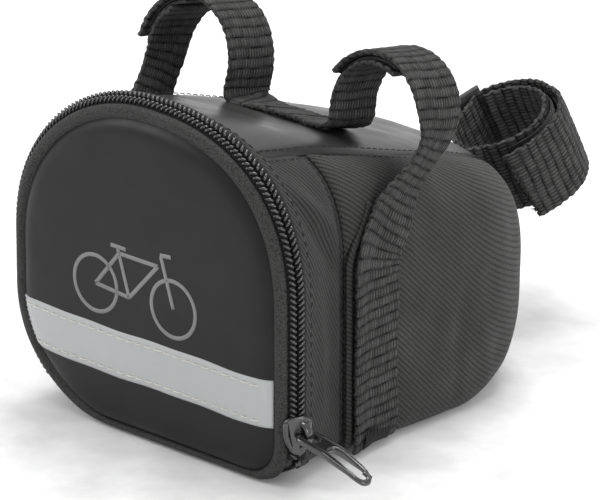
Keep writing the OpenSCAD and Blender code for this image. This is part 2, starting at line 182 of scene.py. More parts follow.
# ---- meshes ----
def linked(name, data):
    """A new object in the scene that holds this mesh, curve, lamp or camera."""
    obj = bpy.data.objects.new(name, data)
    bpy.context.scene.collection.objects.link(obj)
    return obj


def quads(m, n, wrap=False, flip=False, start=0):
    i = np.arange(m - 1)[:, None]
    j = np.arange(n if wrap else n - 1)[None, :]
    k = (j + 1) % n
    q = np.stack([i * n + j, i * n + k, (i + 1) * n + k, (i + 1) * n + j], -1).reshape(-1, 4) + start
    return q[:, ::-1] if flip else q


def finish_mesh(mesh, material, uv=None):
    work = bmesh.new()
    work.from_mesh(mesh)
    bmesh.ops.recalc_face_normals(work, faces=work.faces)
    work.to_mesh(mesh)
    work.free()
    if uv is not None:
        layer = mesh.uv_layers.new(name="weave")
        index = np.zeros(len(mesh.loops), np.int32)
        mesh.loops.foreach_get("vertex_index", index)
        layer.data.foreach_set("uv", np.asarray(uv, np.float32)[index].ravel())
    mesh.polygons.foreach_set("use_smooth", [True] * len(mesh.polygons))
    mesh.materials.append(material)
    mesh.update()


def solid(name, verts, faces, material, uv=None):
    mesh = bpy.data.meshes.new(name)
    faces = faces.tolist() if isinstance(faces, np.ndarray) else faces
    mesh.from_pydata((np.asarray(verts, float) * MM).tolist(), [], faces)
    finish_mesh(mesh, material, uv)
    return linked(name, mesh)


def wall_faces(m, n, wrap=False):
    """Faces that close the space between two grids of m by n points, the second grid after the first."""
    o = m * n
    j = np.arange(n if wrap else n - 1)
    k = (j + 1) % n
    last = (m - 1) * n
    faces = [quads(m, n, wrap), quads(m, n, wrap, True, o),
             np.stack([j, j + o, k + o, k], -1),
             np.stack([last + j, last + k, last + k + o, last + j + o], -1)]
    if not wrap:
        i = np.arange(m - 1) * n
        faces.append(np.stack([i, i + n, i + n + o, i + o], -1))
        i = i + n - 1
        faces.append(np.stack([i, i + o, i + n + o, i + n], -1))
    return np.concatenate(faces)


def shell(name, outer, inner, material, uv=None, wrap=False):
    """A closed wall between two grids of points of the same size."""
    verts = np.concatenate([outer.reshape(-1, 3), inner.reshape(-1, 3)])
    if uv is not None:
        uv = np.concatenate([uv.reshape(-1, 2), uv.reshape(-1, 2)])
    return solid(name, verts, wall_faces(*outer.shape[:2], wrap), material, uv)


def piece(obj, ride, slot, *nodes):
    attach(obj, ride)
    if nodes:
        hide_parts(*nodes)
    return obj


def arc_uv(p):
    """Distances in mm along the rows and the columns of a grid of points."""
    across = np.linalg.norm(np.diff(p, axis=1), axis=-1)
    along = np.linalg.norm(np.diff(p, axis=0), axis=-1)
    u = np.concatenate([np.zeros((p.shape[0], 1)), np.cumsum(across, 1)], 1)
    v = np.concatenate([np.zeros((1, p.shape[1])), np.cumsum(along, 0)], 0)
    return u, v


def cloth_uv(p):
    return np.stack(arc_uv(p), -1)


def tubes(name, paths, radius, sides, material, flat=1.0, normals=None):
    """Many short round tubes in one mesh: paths is (count, points, 3)."""
    count, points = paths.shape[:2]
    tangent = unit(np.gradient(paths, axis=1))
    hint = np.broadcast_to(np.array([0.0, 0.0, 1.0]), paths.shape) if normals is None else normals
    side = unit(np.cross(tangent, hint))
    up = np.cross(side, tangent)
    a = np.arange(sides) * 2 * np.pi / sides
    taper = np.ones(points)
    taper[0] = taper[-1] = 0.55
    r = radius * taper[None, :, None, None]
    spoke = np.cos(a)[:, None] * side[:, :, None] + flat * np.sin(a)[:, None] * up[:, :, None]
    verts = (paths[:, :, None] + r * spoke).reshape(-1, 3)
    faces = []
    for c in range(count):
        base = c * points * sides
        faces += quads(points, sides, True, False, base).tolist()
        faces.append([base + k for k in range(sides)][::-1])
        faces.append([base + (points - 1) * sides + k for k in range(sides)])
    return solid(name, verts, faces, material)


def resample(p, step):
    """Even points along a line of points; also how far along each one is."""
    d = np.concatenate([[0], np.cumsum(np.linalg.norm(np.diff(p, axis=0), axis=1))])
    n = max(2, int(d[-1] / step) + 1)
    s = np.linspace(0, d[-1], n)
    return np.stack([np.interp(s, d, p[:, k]) for k in range(p.shape[1])], 1), s


def smooth_line(p, passes):
    p = p.copy()
    for _ in range(passes):
        p[1:-1] = 0.5 * p[1:-1] + 0.25 * (p[:-2] + p[2:])
    return p


def stitches(name, line, normals, material, length=2.2, gap=1.1, radius=0.22):
    """A row of sewn stitches along a line, each one dipping into the cloth at its ends."""
    both, s = resample(np.concatenate([line, np.broadcast_to(normals, line.shape)], 1), 0.25)
    start = np.arange(0.3, s[-1] - length, length + gap)
    steps = np.linspace(0, 1, 6)
    at = start[:, None] + steps[None, :] * length
    p = np.stack([np.interp(at, s, both[:, k]) for k in range(3)], -1)
    n = unit(np.stack([np.interp(at, s, both[:, 3 + k]) for k in range(3)], -1))
    lift = radius * (2.0 * np.sqrt(np.maximum(0, 1 - (2 * steps - 1) ** 2)) - 0.9)
    return tubes(name, p + n * lift[None, :, None], radius, 6, material, normals=n)


# ---- materials ----
def nodes_of(material):
    material.use_nodes = True
    tree = material.node_tree
    tree.nodes.clear()
    out = tree.nodes.new("ShaderNodeOutputMaterial")
    bsdf = tree.nodes.new("ShaderNodeBsdfPrincipled")
    tree.links.new(bsdf.outputs[0], out.inputs[0])
    return tree, bsdf


def put(tree, kind, inputs=None, **props):
    node = tree.nodes.new("ShaderNode" + kind)
    for k, v in props.items():
        setattr(node, k, v)
    for k, v in (inputs or {}).items():
        if isinstance(v, bpy.types.NodeSocket):
            tree.links.new(v, node.inputs[k])
        else:
            node.inputs[k].default_value = v
    return node.outputs[0]


def calc(tree, op, a, b=0.0):
    return put(tree, "Math", {0: a, 1: b}, operation=op)


def mul(tree, a, b):
    return calc(tree, "MULTIPLY", a, b)


def add(tree, a, b):
    return calc(tree, "ADD", a, b)


def noise(tree, where, scale, detail=3.0, rough=0.55):
    return put(tree, "TexNoise", {"Vector": where, "Scale": scale, "Detail": detail, "Roughness": rough})


def object_mm(tree):
    coords = tree.nodes.new("ShaderNodeTexCoord")
    return put(tree, "VectorMath", {0: coords.outputs["Object"], "Scale": 1000.0}, operation="SCALE")


def weave_uv(tree):
    uv = tree.nodes.new("ShaderNodeUVMap")
    uv.uv_map = "weave"
    split = tree.nodes.new("ShaderNodeSeparateXYZ")
    tree.links.new(uv.outputs[0], split.inputs[0])
    return split.outputs[0], split.outputs[1], uv.outputs[0]


def ramp(tree, value, low, high, dark, light):
    return put(tree, "MapRange", {0: value, 1: low, 2: high, 3: dark, 4: light})


def tinted(tree, base, factor):
    mix = tree.nodes.new("ShaderNodeMix")
    mix.data_type = "RGBA"
    mix.blend_type = "MULTIPLY"
    mix.inputs[0].default_value = 1.0
    mix.inputs[6].default_value = (*base, 1)
    combine = tree.nodes.new("ShaderNodeCombineColor")
    for k in range(3):
        tree.links.new(factor, combine.inputs[k])
    tree.links.new(combine.outputs[0], mix.inputs[7])
    return mix.outputs[2]


def surface(name, base, rough, build, spec=0.5, coat=0.0, sheen=0.0):
    """A material; build(tree) gives (height, depth in mm, tone factor)."""
    m = bpy.data.materials.new(name)
    tree, bsdf = nodes_of(m)
    height, depth, tone = build(tree)
    tree.links.new(tinted(tree, base, tone), bsdf.inputs["Base Color"])
    worn = noise(tree, object_mm(tree), 0.09, 4.0)
    tree.links.new(ramp(tree, worn, 0.3, 0.7, rough - 0.06, rough + 0.06), bsdf.inputs["Roughness"])
    bsdf.inputs["Specular IOR Level"].default_value = spec
    bsdf.inputs["Coat Weight"].default_value = coat
    bsdf.inputs["Coat Roughness"].default_value = 0.25
    bsdf.inputs["Sheen Weight"].default_value = sheen
    bsdf.inputs["Sheen Roughness"].default_value = 0.45
    bump = put(tree, "Bump", {"Height": height, "Distance": depth * MM, "Strength": 1.0})
    tree.links.new(bump, bsdf.inputs["Normal"])
    return m


def twill(pitch, lean):
    """Diagonal ribs of short floats, darkened in their grooves as painted shade and lightened on their tops
    as painted highlight.
    """
    def build(tree):
        u, v, uv = weave_uv(tree)
        drift = mul(tree, noise(tree, uv, 0.35, 2.0), 0.35 * pitch)
        c, s = math.cos(lean), math.sin(lean)
        across = add(tree, add(tree, mul(tree, u, c), mul(tree, v, s)), drift)
        along = calc(tree, "SUBTRACT", mul(tree, v, c), mul(tree, u, s))
        rib = calc(tree, "ABSOLUTE", calc(tree, "SINE", mul(tree, across, math.pi / pitch)))
        row = mul(tree, calc(tree, "FLOOR", calc(tree, "DIVIDE", across, pitch)), 0.37)
        phase = mul(tree, add(tree, calc(tree, "DIVIDE", along, pitch * 0.62), row), math.pi)
        thread = calc(tree, "ABSOLUTE", calc(tree, "SINE", phase))
        height = mul(tree, calc(tree, "POWER", rib, 0.6),
                      add(tree, mul(tree, calc(tree, "POWER", thread, 0.5), 0.35), 0.65))
        fuzz = noise(tree, uv, 7.0, 2.0)
        height = add(tree, height, mul(tree, fuzz, 0.3))
        patches = ramp(tree, noise(tree, uv, 0.06, 3.0), 0.3, 0.7, 0.86, 1.16)
        # painted shade in the grooves and painted highlight on the rib tops, from the rib height, times
        # random patches of tone
        tone = mul(tree, ramp(tree, height, 0.15, 1.15, 0.12, 1.75), patches)
        return height, 0.3, tone
    return build


def smooth_skin(grain, depth):
    def build(tree):
        where = object_mm(tree)
        fine = noise(tree, where, grain, 3.0)
        broad = noise(tree, where, 0.12, 3.0)
        height = add(tree, fine, mul(tree, broad, 2.5))
        tone = ramp(tree, noise(tree, where, 0.05, 4.0), 0.3, 0.7, 0.88, 1.12)
        return height, depth, tone
    return build


def pebble(cell, depth, dark, light):
    def build(tree):
        where = object_mm(tree)
        cells = put(tree, "TexVoronoi", {"Vector": where, "Scale": 1 / cell})
        height = add(tree, cells, mul(tree, noise(tree, where, 3.0, 2.0), 0.6))
        return height, depth, ramp(tree, height, 0.2, 1.1, light, dark)
    return build


def fibres(depth, dark=0.6, light=1.3):
    """Fine parallel fibres on geometry that already carries the weave."""
    def build(tree):
        u, v, uv = weave_uv(tree)
        strands = calc(tree, "SINE", mul(tree, add(tree, u, mul(tree, noise(tree, uv, 1.2, 2.0), 0.5)), 26.0))
        height = add(tree, mul(tree, strands, 0.35), noise(tree, uv, 5.0, 3.0))
        tone = mul(tree, ramp(tree, noise(tree, uv, 2.0, 3.0), 0.3, 0.7, dark, light),
                    ramp(tree, noise(tree, uv, 0.08, 2.0), 0.3, 0.7, 0.9, 1.12))
        return height, depth, tone
    return build


def woven(depth):
    """Fibres over woven relief; the geometry's own height darkens the hollows between the threads as painted
    shade and lightens the floats as painted highlight.
    """
    def build(tree):
        height, depth_mm, tone = fibres(depth)(tree)
        relief = tree.nodes.new("ShaderNodeAttribute")
        relief.attribute_name = "relief"
        # painted shade in the hollows and painted highlight on the floats, from the stored relief
        shade = ramp(tree, relief.outputs["Fac"], 0.15, 0.95, 0.05, 3.0)
        return height, depth_mm, mul(tree, tone, shade)
    return build


def pile(scale, depth):
    def build(tree):
        where = object_mm(tree)
        height = noise(tree, where, scale, 5.0, 0.8)
        return height, depth, ramp(tree, height, 0.35, 0.65, 0.45, 1.5)
    return build


def plain_weave(pitch, depth):
    def build(tree):
        u, v, uv = weave_uv(tree)
        a = calc(tree, "SINE", mul(tree, u, math.pi / pitch))
        b = calc(tree, "SINE", mul(tree, v, math.pi / pitch))
        height = add(tree, mul(tree, mul(tree, a, b), 0.5), 0.5)
        tone = mul(tree, ramp(tree, height, 0.0, 1.0, 0.7, 1.2),
                    ramp(tree, noise(tree, uv, 0.1, 3.0), 0.3, 0.7, 0.85, 1.1))
        return height, depth, tone
    return build


LID = surface("lid_laminate", (0.0085, 0.0085, 0.0083), 0.44, smooth_skin(2.2, 0.012), spec=0.25)
TOP = surface("smooth_laminate", (0.024, 0.024, 0.0235), 0.34, smooth_skin(1.6, 0.03), spec=0.6)


def twill_cloth(name, base, rib, degrees):
    """Cloth with ribs of that pitch in mm, leaning that far."""
    return surface(name, base, 0.75, twill(rib, math.radians(degrees)), spec=0.2, sheen=0.08)


TWILL = twill_cloth("twill", (0.029, 0.029, 0.028), 1.45, 38)
TWILL_LEFT = twill_cloth("twill_left", (0.029, 0.029, 0.028), 1.45, -38)
GUSSET = twill_cloth("gusset_twill", (0.024, 0.024, 0.0235), 1.2, 62)
GUSSET_LEFT = twill_cloth("gusset_twill_left", (0.024, 0.024, 0.0235), 1.2, -62)
STRIP = surface("lid_strip", (0.038, 0.038, 0.037), 0.7, pebble(0.5, 0.12, 0.35, 1.7), spec=0.3)
WEBBING = surface("webbing", (0.026, 0.026, 0.0255), 0.6, woven(0.05), spec=0.12)
TAPE = surface("zip_tape", (0.014, 0.014, 0.015), 0.8, pebble(0.5, 0.08, 0.6, 1.3), spec=0.25)
COIL = surface("nylon_coil", (0.017, 0.017, 0.018), 0.20, smooth_skin(6.0, 0.01), spec=0.9)
THREAD = surface("thread", (0.014, 0.014, 0.014), 0.6, smooth_skin(8.0, 0.03), spec=0.4)
CREAM = surface("cream_thread", (0.66, 0.65, 0.60), 0.7, smooth_skin(8.0, 0.03), spec=0.3)
TAPE_SILVER = surface("reflective_tape", (0.42, 0.425, 0.43), 0.42, pebble(0.28, 0.012, 0.93, 1.04), spec=0.5)
INK = surface("printed_ink", (0.19, 0.19, 0.19), 0.5, smooth_skin(3.0, 0.01), spec=0.4)
LINING = surface("lining", (0.020, 0.020, 0.022), 0.8, plain_weave(0.5, 0.06), spec=0.3, sheen=0.2)
FOAM = surface("foam", (0.20, 0.205, 0.215), 0.9, pebble(0.7, 0.12, 0.6, 1.1), spec=0.2)
HOOK = surface("hook_tape", (0.012, 0.012, 0.013), 0.45, pebble(0.9, 0.35, 0.4, 1.5), spec=0.5)
LOOP = surface("loop_tape", (0.016, 0.016, 0.017), 0.95, pile(1.4, 0.5), spec=0.1, sheen=0.4)
BOARD = surface("stiffener", (0.09, 0.09, 0.10), 0.6, smooth_skin(1.2, 0.03), spec=0.4)
SLEEVE = surface("sleeve", (0.055, 0.055, 0.058), 0.42, smooth_skin(1.2, 0.03), spec=0.5)
METAL = surface("black_enamel", (0.010, 0.010, 0.011), 0.18, smooth_skin(0.8, 0.02), spec=0.8, coat=0.6)


# ---- body panels ----
def crease(p, a, b, width, depth):
    """A soft groove (negative) or ridge between two points given as (t, z)."""
    q = np.stack([p[..., 1] + ORIGIN_T, p[..., 2]], -1)
    a, b = np.array(a, float), np.array(b, float)
    along = np.clip(((q - a) @ (b - a)) / ((b - a) @ (b - a)), 0, 1)
    far = np.linalg.norm(q - (a + along[..., None] * (b - a)), axis=-1)
    return depth * hill(far, width) * np.sin(np.pi * np.clip(along, 0.08, 0.92))


def panel(name, ts, phis, material, puff, features, thick=SKIN_T, seam=(1, 1, 1, 1)):
    """A sewn panel over foam: it swells between its seams and is drawn in along them."""
    base = body(ts[:, None], phis)
    u, v = arc_uv(base)
    edges = [v, v[-1:] - v, u, u[:, -1:] - u]
    draw = sum(k * hill(e, 1.7) for k, e in zip(seam, edges))
    near = np.min(np.stack([e if k else e + 99 for k, e in zip(seam, edges)]), 0)
    out = puff * (1 - np.exp(-near / 7)) - 0.75 * np.minimum(draw, 1) + features(base, u, v, near)
    outer = body(ts[:, None], phis, -out)
    outer[..., 2] = np.maximum(outer[..., 2], 0)
    inner = body(ts[:, None], phis, np.full(base.shape[:2], thick))
    return shell(name, outer, inner, material, np.stack([u, v], -1))


def rows(a, b, n, k=1.0):
    s = np.linspace(0, 1, n)
    return a + (b - a) * (k * s + (1 - k) * s * s)


def steps(low, high, n):
    """n angles from low to high at every station; both may change from row to row."""
    low, high = np.broadcast_arrays(np.asarray(low, float), np.asarray(high, float))
    return low[:, None] + (high - low)[:, None] * np.linspace(0, 1, n)[None, :]


def side_features(seed, strength):
    def features(p, u, v, near):
        t = p[..., 1] + ORIGIN_T
        inside = 1 - np.exp(-near / 6)
        lump = 0.35 * ripple(p, 34, seed) + 0.16 * ripple(p, 15, seed + 1)
        bulge = 1.6 * ease((t - 62) / 30) * ease((132 - t) / 22) * hill(p[..., 2] - 42, 30)
        strap = -1.0 * hill(t - 46, 10)
        folds = (crease(p, (80, 38), (80, 3), 3.0, -0.9 * strength)
                 + crease(p, (88, 34), (97, 6), 3.5, 0.5 * strength)
                 + crease(p, (104, 62), (112, 40), 4.0, -0.5 * strength)
                 + crease(p, (66, 12), (98, 22), 4.0, 0.35 * strength))
        return lump * inside + bulge + strap + folds
    return features


def gusset_features(seed, strength):
    def features(p, u, v, near):
        inside = 1 - np.exp(-near / 3)
        lump = 0.3 * ripple(p, 22, seed) + 0.12 * ripple(p, 9, seed + 1)
        folds = (crease(p, (12, 92), (32, 68), 2.6, 1.5 * strength)
                 + crease(p, (13, 84), (30, 58), 2.4, -1.3 * strength)
                 + crease(p, (24, 62), (29, 8), 2.6, -0.7 * strength)
                 + crease(p, (19, 60), (22, 10), 2.4, 0.5 * strength))
        gully = -1.6 * hill(p[..., 1] + ORIGIN_T - SPLIT_T, 3.2)
        return (lump + folds) * inside + gully
    return features


def for_side(side, phi):
    """Angles given for the right side, turned over for the left."""
    return 180 - phi if side == "left" else phi


gusset_ts = rows(BODY_T, SPLIT_T, 34)
side_ts = rows(SPLIT_T, CAP_T, 80, 1.25)
for side, seed, strength, cloth, gusset_cloth in (
        ("right", 3, 1.0, TWILL, GUSSET), ("left", 11, 0.7, TWILL_LEFT, GUSSET_LEFT)):
    phis = for_side(side, steps(SEAM_LOW, seam_top(side_ts), 84))
    obj = panel(side + "_side", side_ts, phis, cloth, 1.5, side_features(seed, strength))
    piece(obj, "bag", "skin_twill", side + "_side_panel")
    phis = for_side(side, steps(SEAM_LOW, seam_top(gusset_ts), 84))
    obj = panel(side + "_gusset", gusset_ts, phis, gusset_cloth, 0.5,
                gusset_features(seed + 4, strength), seam=(0.4, 1, 1, 1))
    piece(obj, "bag", "skin_twill", side + "_front_gusset")

body_ts = np.concatenate([gusset_ts, side_ts[1:]])


def top_features(p, u, v, near):
    t = p[..., 1] + ORIGIN_T
    inside = 1 - np.exp(-near / 8)
    dip = -1.6 * hill(t - 44, 16) * hill(p[..., 0] - 4, 34) - 0.8 * hill(t - 70, 12)
    return (0.45 * ripple(p, 42, 21) + 0.12 * ripple(p, 17, 22)) * inside + dip


obj = panel("top", body_ts, steps(seam_top(body_ts), 180 - seam_top(body_ts), 70), TOP, 0.8, top_features)
piece(obj, "bag", "skin_smooth", "top_panel")


def base_features(p, u, v, near):
    """The floor panel sags between its seams only where nothing holds it flat."""
    return 0.1 * ripple(p, 30, 23) * (1 - np.exp(-near / 8))


base_phis = steps(180 - SEAM_LOW, np.full(len(body_ts), 360.0 + SEAM_LOW), 70)
obj = panel("base", body_ts, base_phis, TOP, 0.0, base_features)
piece(obj, "bag", "skin_smooth", "bottom_panel")


# Rear cap: the rounded end of the body, drawn in a little at its seam
def cap(inset, out):
    scale = np.array([1, 0.985, 0.96, 0.92, 0.87, 0.8, 0.7, 0.58, 0.44, 0.3, 0.16, 0.03, 0.004, 0.0004])
    phi = np.arange(0, 360, 3.0)
    p = body(np.full(phi.shape, CAP_T), phi, inset)
    zc = (top_z(np.array(CAP_T)) + base_z(np.array(CAP_T))) / 2
    k = scale[:, None]
    seam = 0.75 * hill((1 - k) * 26, 1.7)
    y = (CAP_T - ORIGIN_T - inset * np.minimum(1, 4 * (1 - k)) + (DEPTH - CAP_T) * (1 - k * k)
         + out * (1 - k) - seam)
    x = p[None, :, 0] * k
    return np.stack([x, np.broadcast_to(y, x.shape), zc + (p[None, :, 2] - zc) * k], -1)


cap_outer = cap(0.0, 0.6)
obj = shell("rear", cap_outer, cap(SKIN_T, 0.0), TOP, cap_outer[..., [0, 2]], wrap=True)
piece(obj, "bag", "skin_smooth", "rear_panel")

# ---- layers inside ----
layer_ts = rows(BODY_T + 0.2, 126, 40)
around = np.arange(0, 360, 3.0)


def layer(name, d0, d1, material, seed):
    grid = body(layer_ts[:, None], around[None, :], d0)
    wave = 0.25 * ripple(grid, 18, seed)
    outer = body(layer_ts[:, None], around[None, :], d0)
    inner = body(layer_ts[:, None], around[None, :], d1 + wave)
    return shell(name, outer, inner, material, cloth_uv(grid), wrap=True)


FOAM_IN = SKIN_T + FOAM_T
obj = layer("foam_wall", SKIN_T + 0.1, FOAM_IN, FOAM, 31)
piece(obj, "bag", "foam", "body_foam")
lining = layer("lining_wall", FOAM_IN + 0.4, FOAM_IN + LINING_T, LINING, 32)
piece(lining, "bag", "lining", "body_lining")


def rounded_box(name, low, high, r, material):
    """A thin board with rounded corners and edges."""
    work = bmesh.new()
    bmesh.ops.create_cube(work, size=1.0)
    size = np.array(high) - np.array(low)
    mid = (np.array(high) + np.array(low)) / 2
    for v in work.verts:
        v.co = Vector((np.array(v.co) * size + mid) * MM)
    long_edges = [e for e in work.edges if e.calc_length() <= min(size) * MM * 1.01]
    bmesh.ops.bevel(work, geom=long_edges, offset=r * MM, segments=5, affect="EDGES", profile=0.5)
    fine_r = min(size) * 0.22 * MM
    bmesh.ops.bevel(work, geom=list(work.edges), offset=fine_r, segments=2, affect="EDGES", profile=0.5)
    mesh = bpy.data.meshes.new(name)
    work.to_mesh(mesh)
    work.free()
    finish_mesh(mesh, material)
    return linked(name, mesh)


low, high = cad("base_board")
piece(rounded_box("floor_board", low, high, 5, BOARD), "bag", "board", "base_board")

# ---- zip ----
ZIP_LOW = 8.5
zip_from = -math.degrees(math.atan((ZIP_H * BELLY - ZIP_LOW) / (ZIP_W / 2)))
left_end = ZIP_W / 2 - LEFT_R + math.sqrt(LEFT_R**2 - (LEFT_R - ZIP_LOW) ** 2)
zip_to = 180 + math.degrees(math.atan((ZIP_H * BELLY - ZIP_LOW) / left_end))
LINE_STEP = 0.25
fine = np.linspace(zip_from, zip_to, 1500)
zip_line, _ = resample(ring(np.full(fine.shape, ZIP_AT), fine), LINE_STEP)
zip_tangent = unit(np.gradient(zip_line, axis=0))
zip_out = unit(np.cross(zip_tangent, BACK))
if zip_out[len(zip_out) // 2][2] < 0:
    zip_out = -zip_out
zip_s = np.arange(len(zip_line)) * LINE_STEP
# The chain faces outwards and a little forwards, so the lid's half is nearer the lid and further in
TILT = math.radians(30)
chain_out = zip_out * math.cos(TILT) - BACK * math.sin(TILT)
chain_side = zip_out * math.sin(TILT) + BACK * math.cos(TILT)
CHAIN_RISE = 0.8
chain_line = zip_line + zip_out * CHAIN_RISE


def strip(name, beside, free, ride, node):
    """A band along the chain: points beside it, as (sideways, height), then free points, as (t, height)."""
    keep = slice(0, len(zip_line), 4)
    line, out = zip_line[keep], zip_out[keep]
    cols = [chain_line[keep] + chain_side[keep] * w + chain_out[keep] * h for w, h in beside]
    cols += [line + out * h + BACK * (t - ZIP_AT) for t, h in free]
    top = np.stack(cols, 1)
    slope = unit(np.gradient(top, axis=1))
    down = unit(np.cross(slope, unit(np.gradient(top, axis=0))))
    down = np.where((down * out[:, None]).sum(-1, keepdims=True) > 0, -down, down)
    return piece(shell(name, top, top + down * 0.5, TAPE, cloth_uv(top)), ride, "tape", node)


strip("tape_behind", [(0.15, 0.0), (1.2, 0.1), (2.1, 0.0), (2.9, -0.5)], [(9.6, -0.6), (10.6, -1.3)],
      "bag", "zip_tape_body")
strip("tape_lid", [(-0.15, 0.0), (-1.2, 0.1), (-2.1, 0.0), (-2.6, -0.7)], [(2.6, -2.0)],
      "lid", "zip_tape_lid")

# The coil: slanted nylon turns on each side, meeting in the middle like plaited cord
PITCH = 1.8


def coil(name, side, node, ride):
    at = np.arange(1.5, zip_s[-1] - 1.0, PITCH) + (PITCH / 2 if side > 0 else 0)
    lateral = np.array([0.1, 0.55, 1.15, 1.7, 2.1, 2.0])
    height = np.array([0.35, 0.8, 0.9, 0.65, 0.1, -0.4])
    slant = np.array([-0.95, -0.7, -0.1, 0.45, 0.75, 0.75]) * PITCH / 2
    s = at[:, None] + slant[None, :]
    p, n, w = (np.stack([np.interp(s, zip_s, v[:, k]) for k in range(3)], -1)
               for v in (chain_line, chain_out, chain_side))
    p = p + n * height[None, :, None] + w * (side * lateral)[None, :, None]
    return piece(tubes(name, p, 0.43, 8, COIL, flat=0.85, normals=n), ride, "coil", node)


coil("coil_behind", 1, "zip_coil_body", "bag")
coil("coil_lid", -1, "zip_coil_lid", "lid")

low, high = cad("zip_end_stops")
STOP_W, STOP_H = 2.2, 2.4
stop_right = rounded_box("end_stop_right", (high[0] - STOP_W, low[1], ZIP_LOW - 3),
                         (high[0], high[1], ZIP_LOW - 0.6), 0.5, METAL)
stop_left = rounded_box("end_stop_left", (-STOP_W / 2, low[1], -STOP_H / 2),
                        (STOP_W / 2, high[1], STOP_H / 2), 0.5, METAL)
end_turn = math.asin((LEFT_R - ZIP_LOW) / LEFT_R) + math.radians(3.6)
stop_arm = LEFT_R - 0.7
stop_at = (LEFT_R - ZIP_W / 2 - stop_arm * math.cos(end_turn), 0, LEFT_R - stop_arm * math.sin(end_turn))
stop_left.data.transform(Matrix.Translation(Vector(stop_at) * MM) @ Matrix.Rotation(-end_turn, 4, "Y"))
piece(stop_right, "bag", "stops", "zip_end_stops")
piece(stop_left, "bag", "stops", "zip_end_stops")

# Folded hem along the front edge of the body, with its topstitching
mouth_phis = np.linspace(zip_from - 3, zip_to + 3, 240)


def hem_point(t, phi, d):
    blend_in = ease((t - 8.2) / 3.0)[..., None]
    return ring(t, phi, d) * (1 - blend_in) + body(t, phi, d) * blend_in


hem_ts = np.array([8.6, 9.0, 9.8, 11.0, 12.4, 13.6, 14.0])
hem_lift = np.array([0.0, 0.75, 1.0, 0.95, 0.95, 0.8, 0.0])
t2, p2 = np.meshgrid(hem_ts, mouth_phis, indexing="ij")
hem_outer = hem_point(t2, p2, -hem_lift[:, None] + 0.55 * ease((14 - t2) / 6))
hem_inner = hem_point(t2, p2, np.full(t2.shape, 0.9))
piece(shell("mouth_hem", hem_outer, hem_inner, GUSSET, cloth_uv(hem_outer)), "bag", "skin_twill")
edge = body(np.full(mouth_phis.shape, 13.2), mouth_phis, -0.75)
edge_out = unit(edge - np.array([0, edge[0][1], 45]))
piece(stitches("hem_stitch", edge, edge_out, THREAD, 2.2, 0.9, 0.2), "bag", "thread")


# ---- seams along the body: topstitching beside each joined edge ----
def seam_row(name, t, phi, lift):
    p = body(t, phi, -lift)
    n = unit(p - body(t, phi, 3.0))
    return piece(stitches(name, p, n, THREAD, 2.0, 0.9, 0.16), "bag", "thread")


seam_ts = np.linspace(15, CAP_T - 2, 120)
for name in ("right", "left"):
    for where, shift in (("top", 2.3), ("side", -2.3)):
        seam_row(f"{name}_seam_{where}", seam_ts, for_side(name, seam_top(seam_ts) + shift), 0.25)
    down = np.linspace(SEAM_LOW + 2, seam_top(np.array(SPLIT_T)) - 2, 80)
    for where, t in (("fold", SPLIT_T - 2.2), ("edge", SPLIT_T + 2.4)):
        seam_row(f"{name}_{where}_stitch", np.full(down.shape, t), for_side(name, down), -0.35)

# ---- hinge strip under the lid ----
low, high = cad("hinge_strip")
xs = np.linspace(low[0], high[0], 60)
ys = np.linspace(low[1] - 1.6, high[1], 12)
gx, gy = np.meshgrid(xs, ys, indexing="ij")
arch = 0.55 * hill(gy - low[1], 0.9)
hinge = shell("hinge_cloth", np.stack([gx, gy, high[2] - 0.2 + arch], -1),
              np.stack([gx, gy, low[2] + 0.1 + arch], -1), GUSSET, np.stack([gx, gy], -1))
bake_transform(hinge)
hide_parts("hinge_strip")

# ---- lid ----
LID_TURN = np.arange(0, 360, 1.5)


def rim(g):
    """The lid's outline, inset by g, as (x, z)."""
    return lid_outline(LID_TURN, FACE_W / 2 - g, 2.0 + g, FACE_H - g)


rim_x, rim_z = rim(0.0)


def edge_gap(x, z):
    """How far a point of the face is from the lid's outline."""
    d = np.hypot(x[..., None] - rim_x, z[..., None] - rim_z)
    return d.min(-1)


def curl(x, z):
    """The slumped lower left corner also bends back a little."""
    return 1.4 * ease((-x - 18) / 30) * ease((24 - z) / 24)


def face_t(x, z):
    """Distance of the face behind its front plane: rolled back at its edge, a little crowned, and waved."""
    g = edge_gap(x, z)
    roll = 2.1 * np.exp(-((g / 1.9) ** 1.15))
    crown = -0.7 * (1 - np.exp(-g / 14))
    p = np.stack([x, 0 * x, z], -1)
    return roll + crown + curl(x, z) + 0.16 * ripple(p, 55, 41) * (1 - np.exp(-g / 8)) + 0.25


def lid_point(x, z, lift=0.0):
    return np.stack([x, face_t(x, z) - lift - ORIGIN_T, z], -1)


edge_rings = np.array([5.0, 4.2, 3.4, 2.8, 2.2, 1.7, 1.25, 0.85, 0.5, 0.2, 0.0]) / 52
k = np.concatenate([[0.0002, 0.002, 0.015, 0.1, 0.2, 0.3, 0.4, 0.5, 0.58, 0.66, 0.73, 0.79, 0.84, 0.88],
                    1 - edge_rings])
LID_MID = 51.0
fx = rim_x[None, :] * k[:, None]
fz = LID_MID + (rim_z - LID_MID)[None, :] * k[:, None]
face_outer = lid_point(fx, fz)
face_inner = face_outer + np.array([0, 1.1, 0])
obj = shell("lid_face", face_outer, face_inner, LID, np.stack([fx, fz], -1), wrap=True)
piece(obj, "lid", "lid_face", "lid_face_panel")

# The strip between the face and the zip: a rounded, rolled edge of textured cloth
profile = [(2.2, -0.3), (1.6, 0.5), (1.3, 1.4), (1.35, 2.3), (1.75, 3.1), (2.5, 3.7), (3.5, 3.9)]
zip_x, zip_z = lid_outline(LID_TURN, ZIP_W / 2, 0.0, ZIP_H)


def gusset_ring(t, out, deep=0.0):
    """A ring between the face's outline (out = 0) and the zip's (out = 4.5), curled like the face."""
    share = (out - deep) / 4.5
    x = rim_x + (zip_x - rim_x) * share
    z = np.maximum(rim_z + (zip_z - rim_z) * share, 0.25)
    return np.stack([x, t - ORIGIN_T + curl(rim_x, rim_z) * (1 - max(0, t - 2) / 3), z], -1)


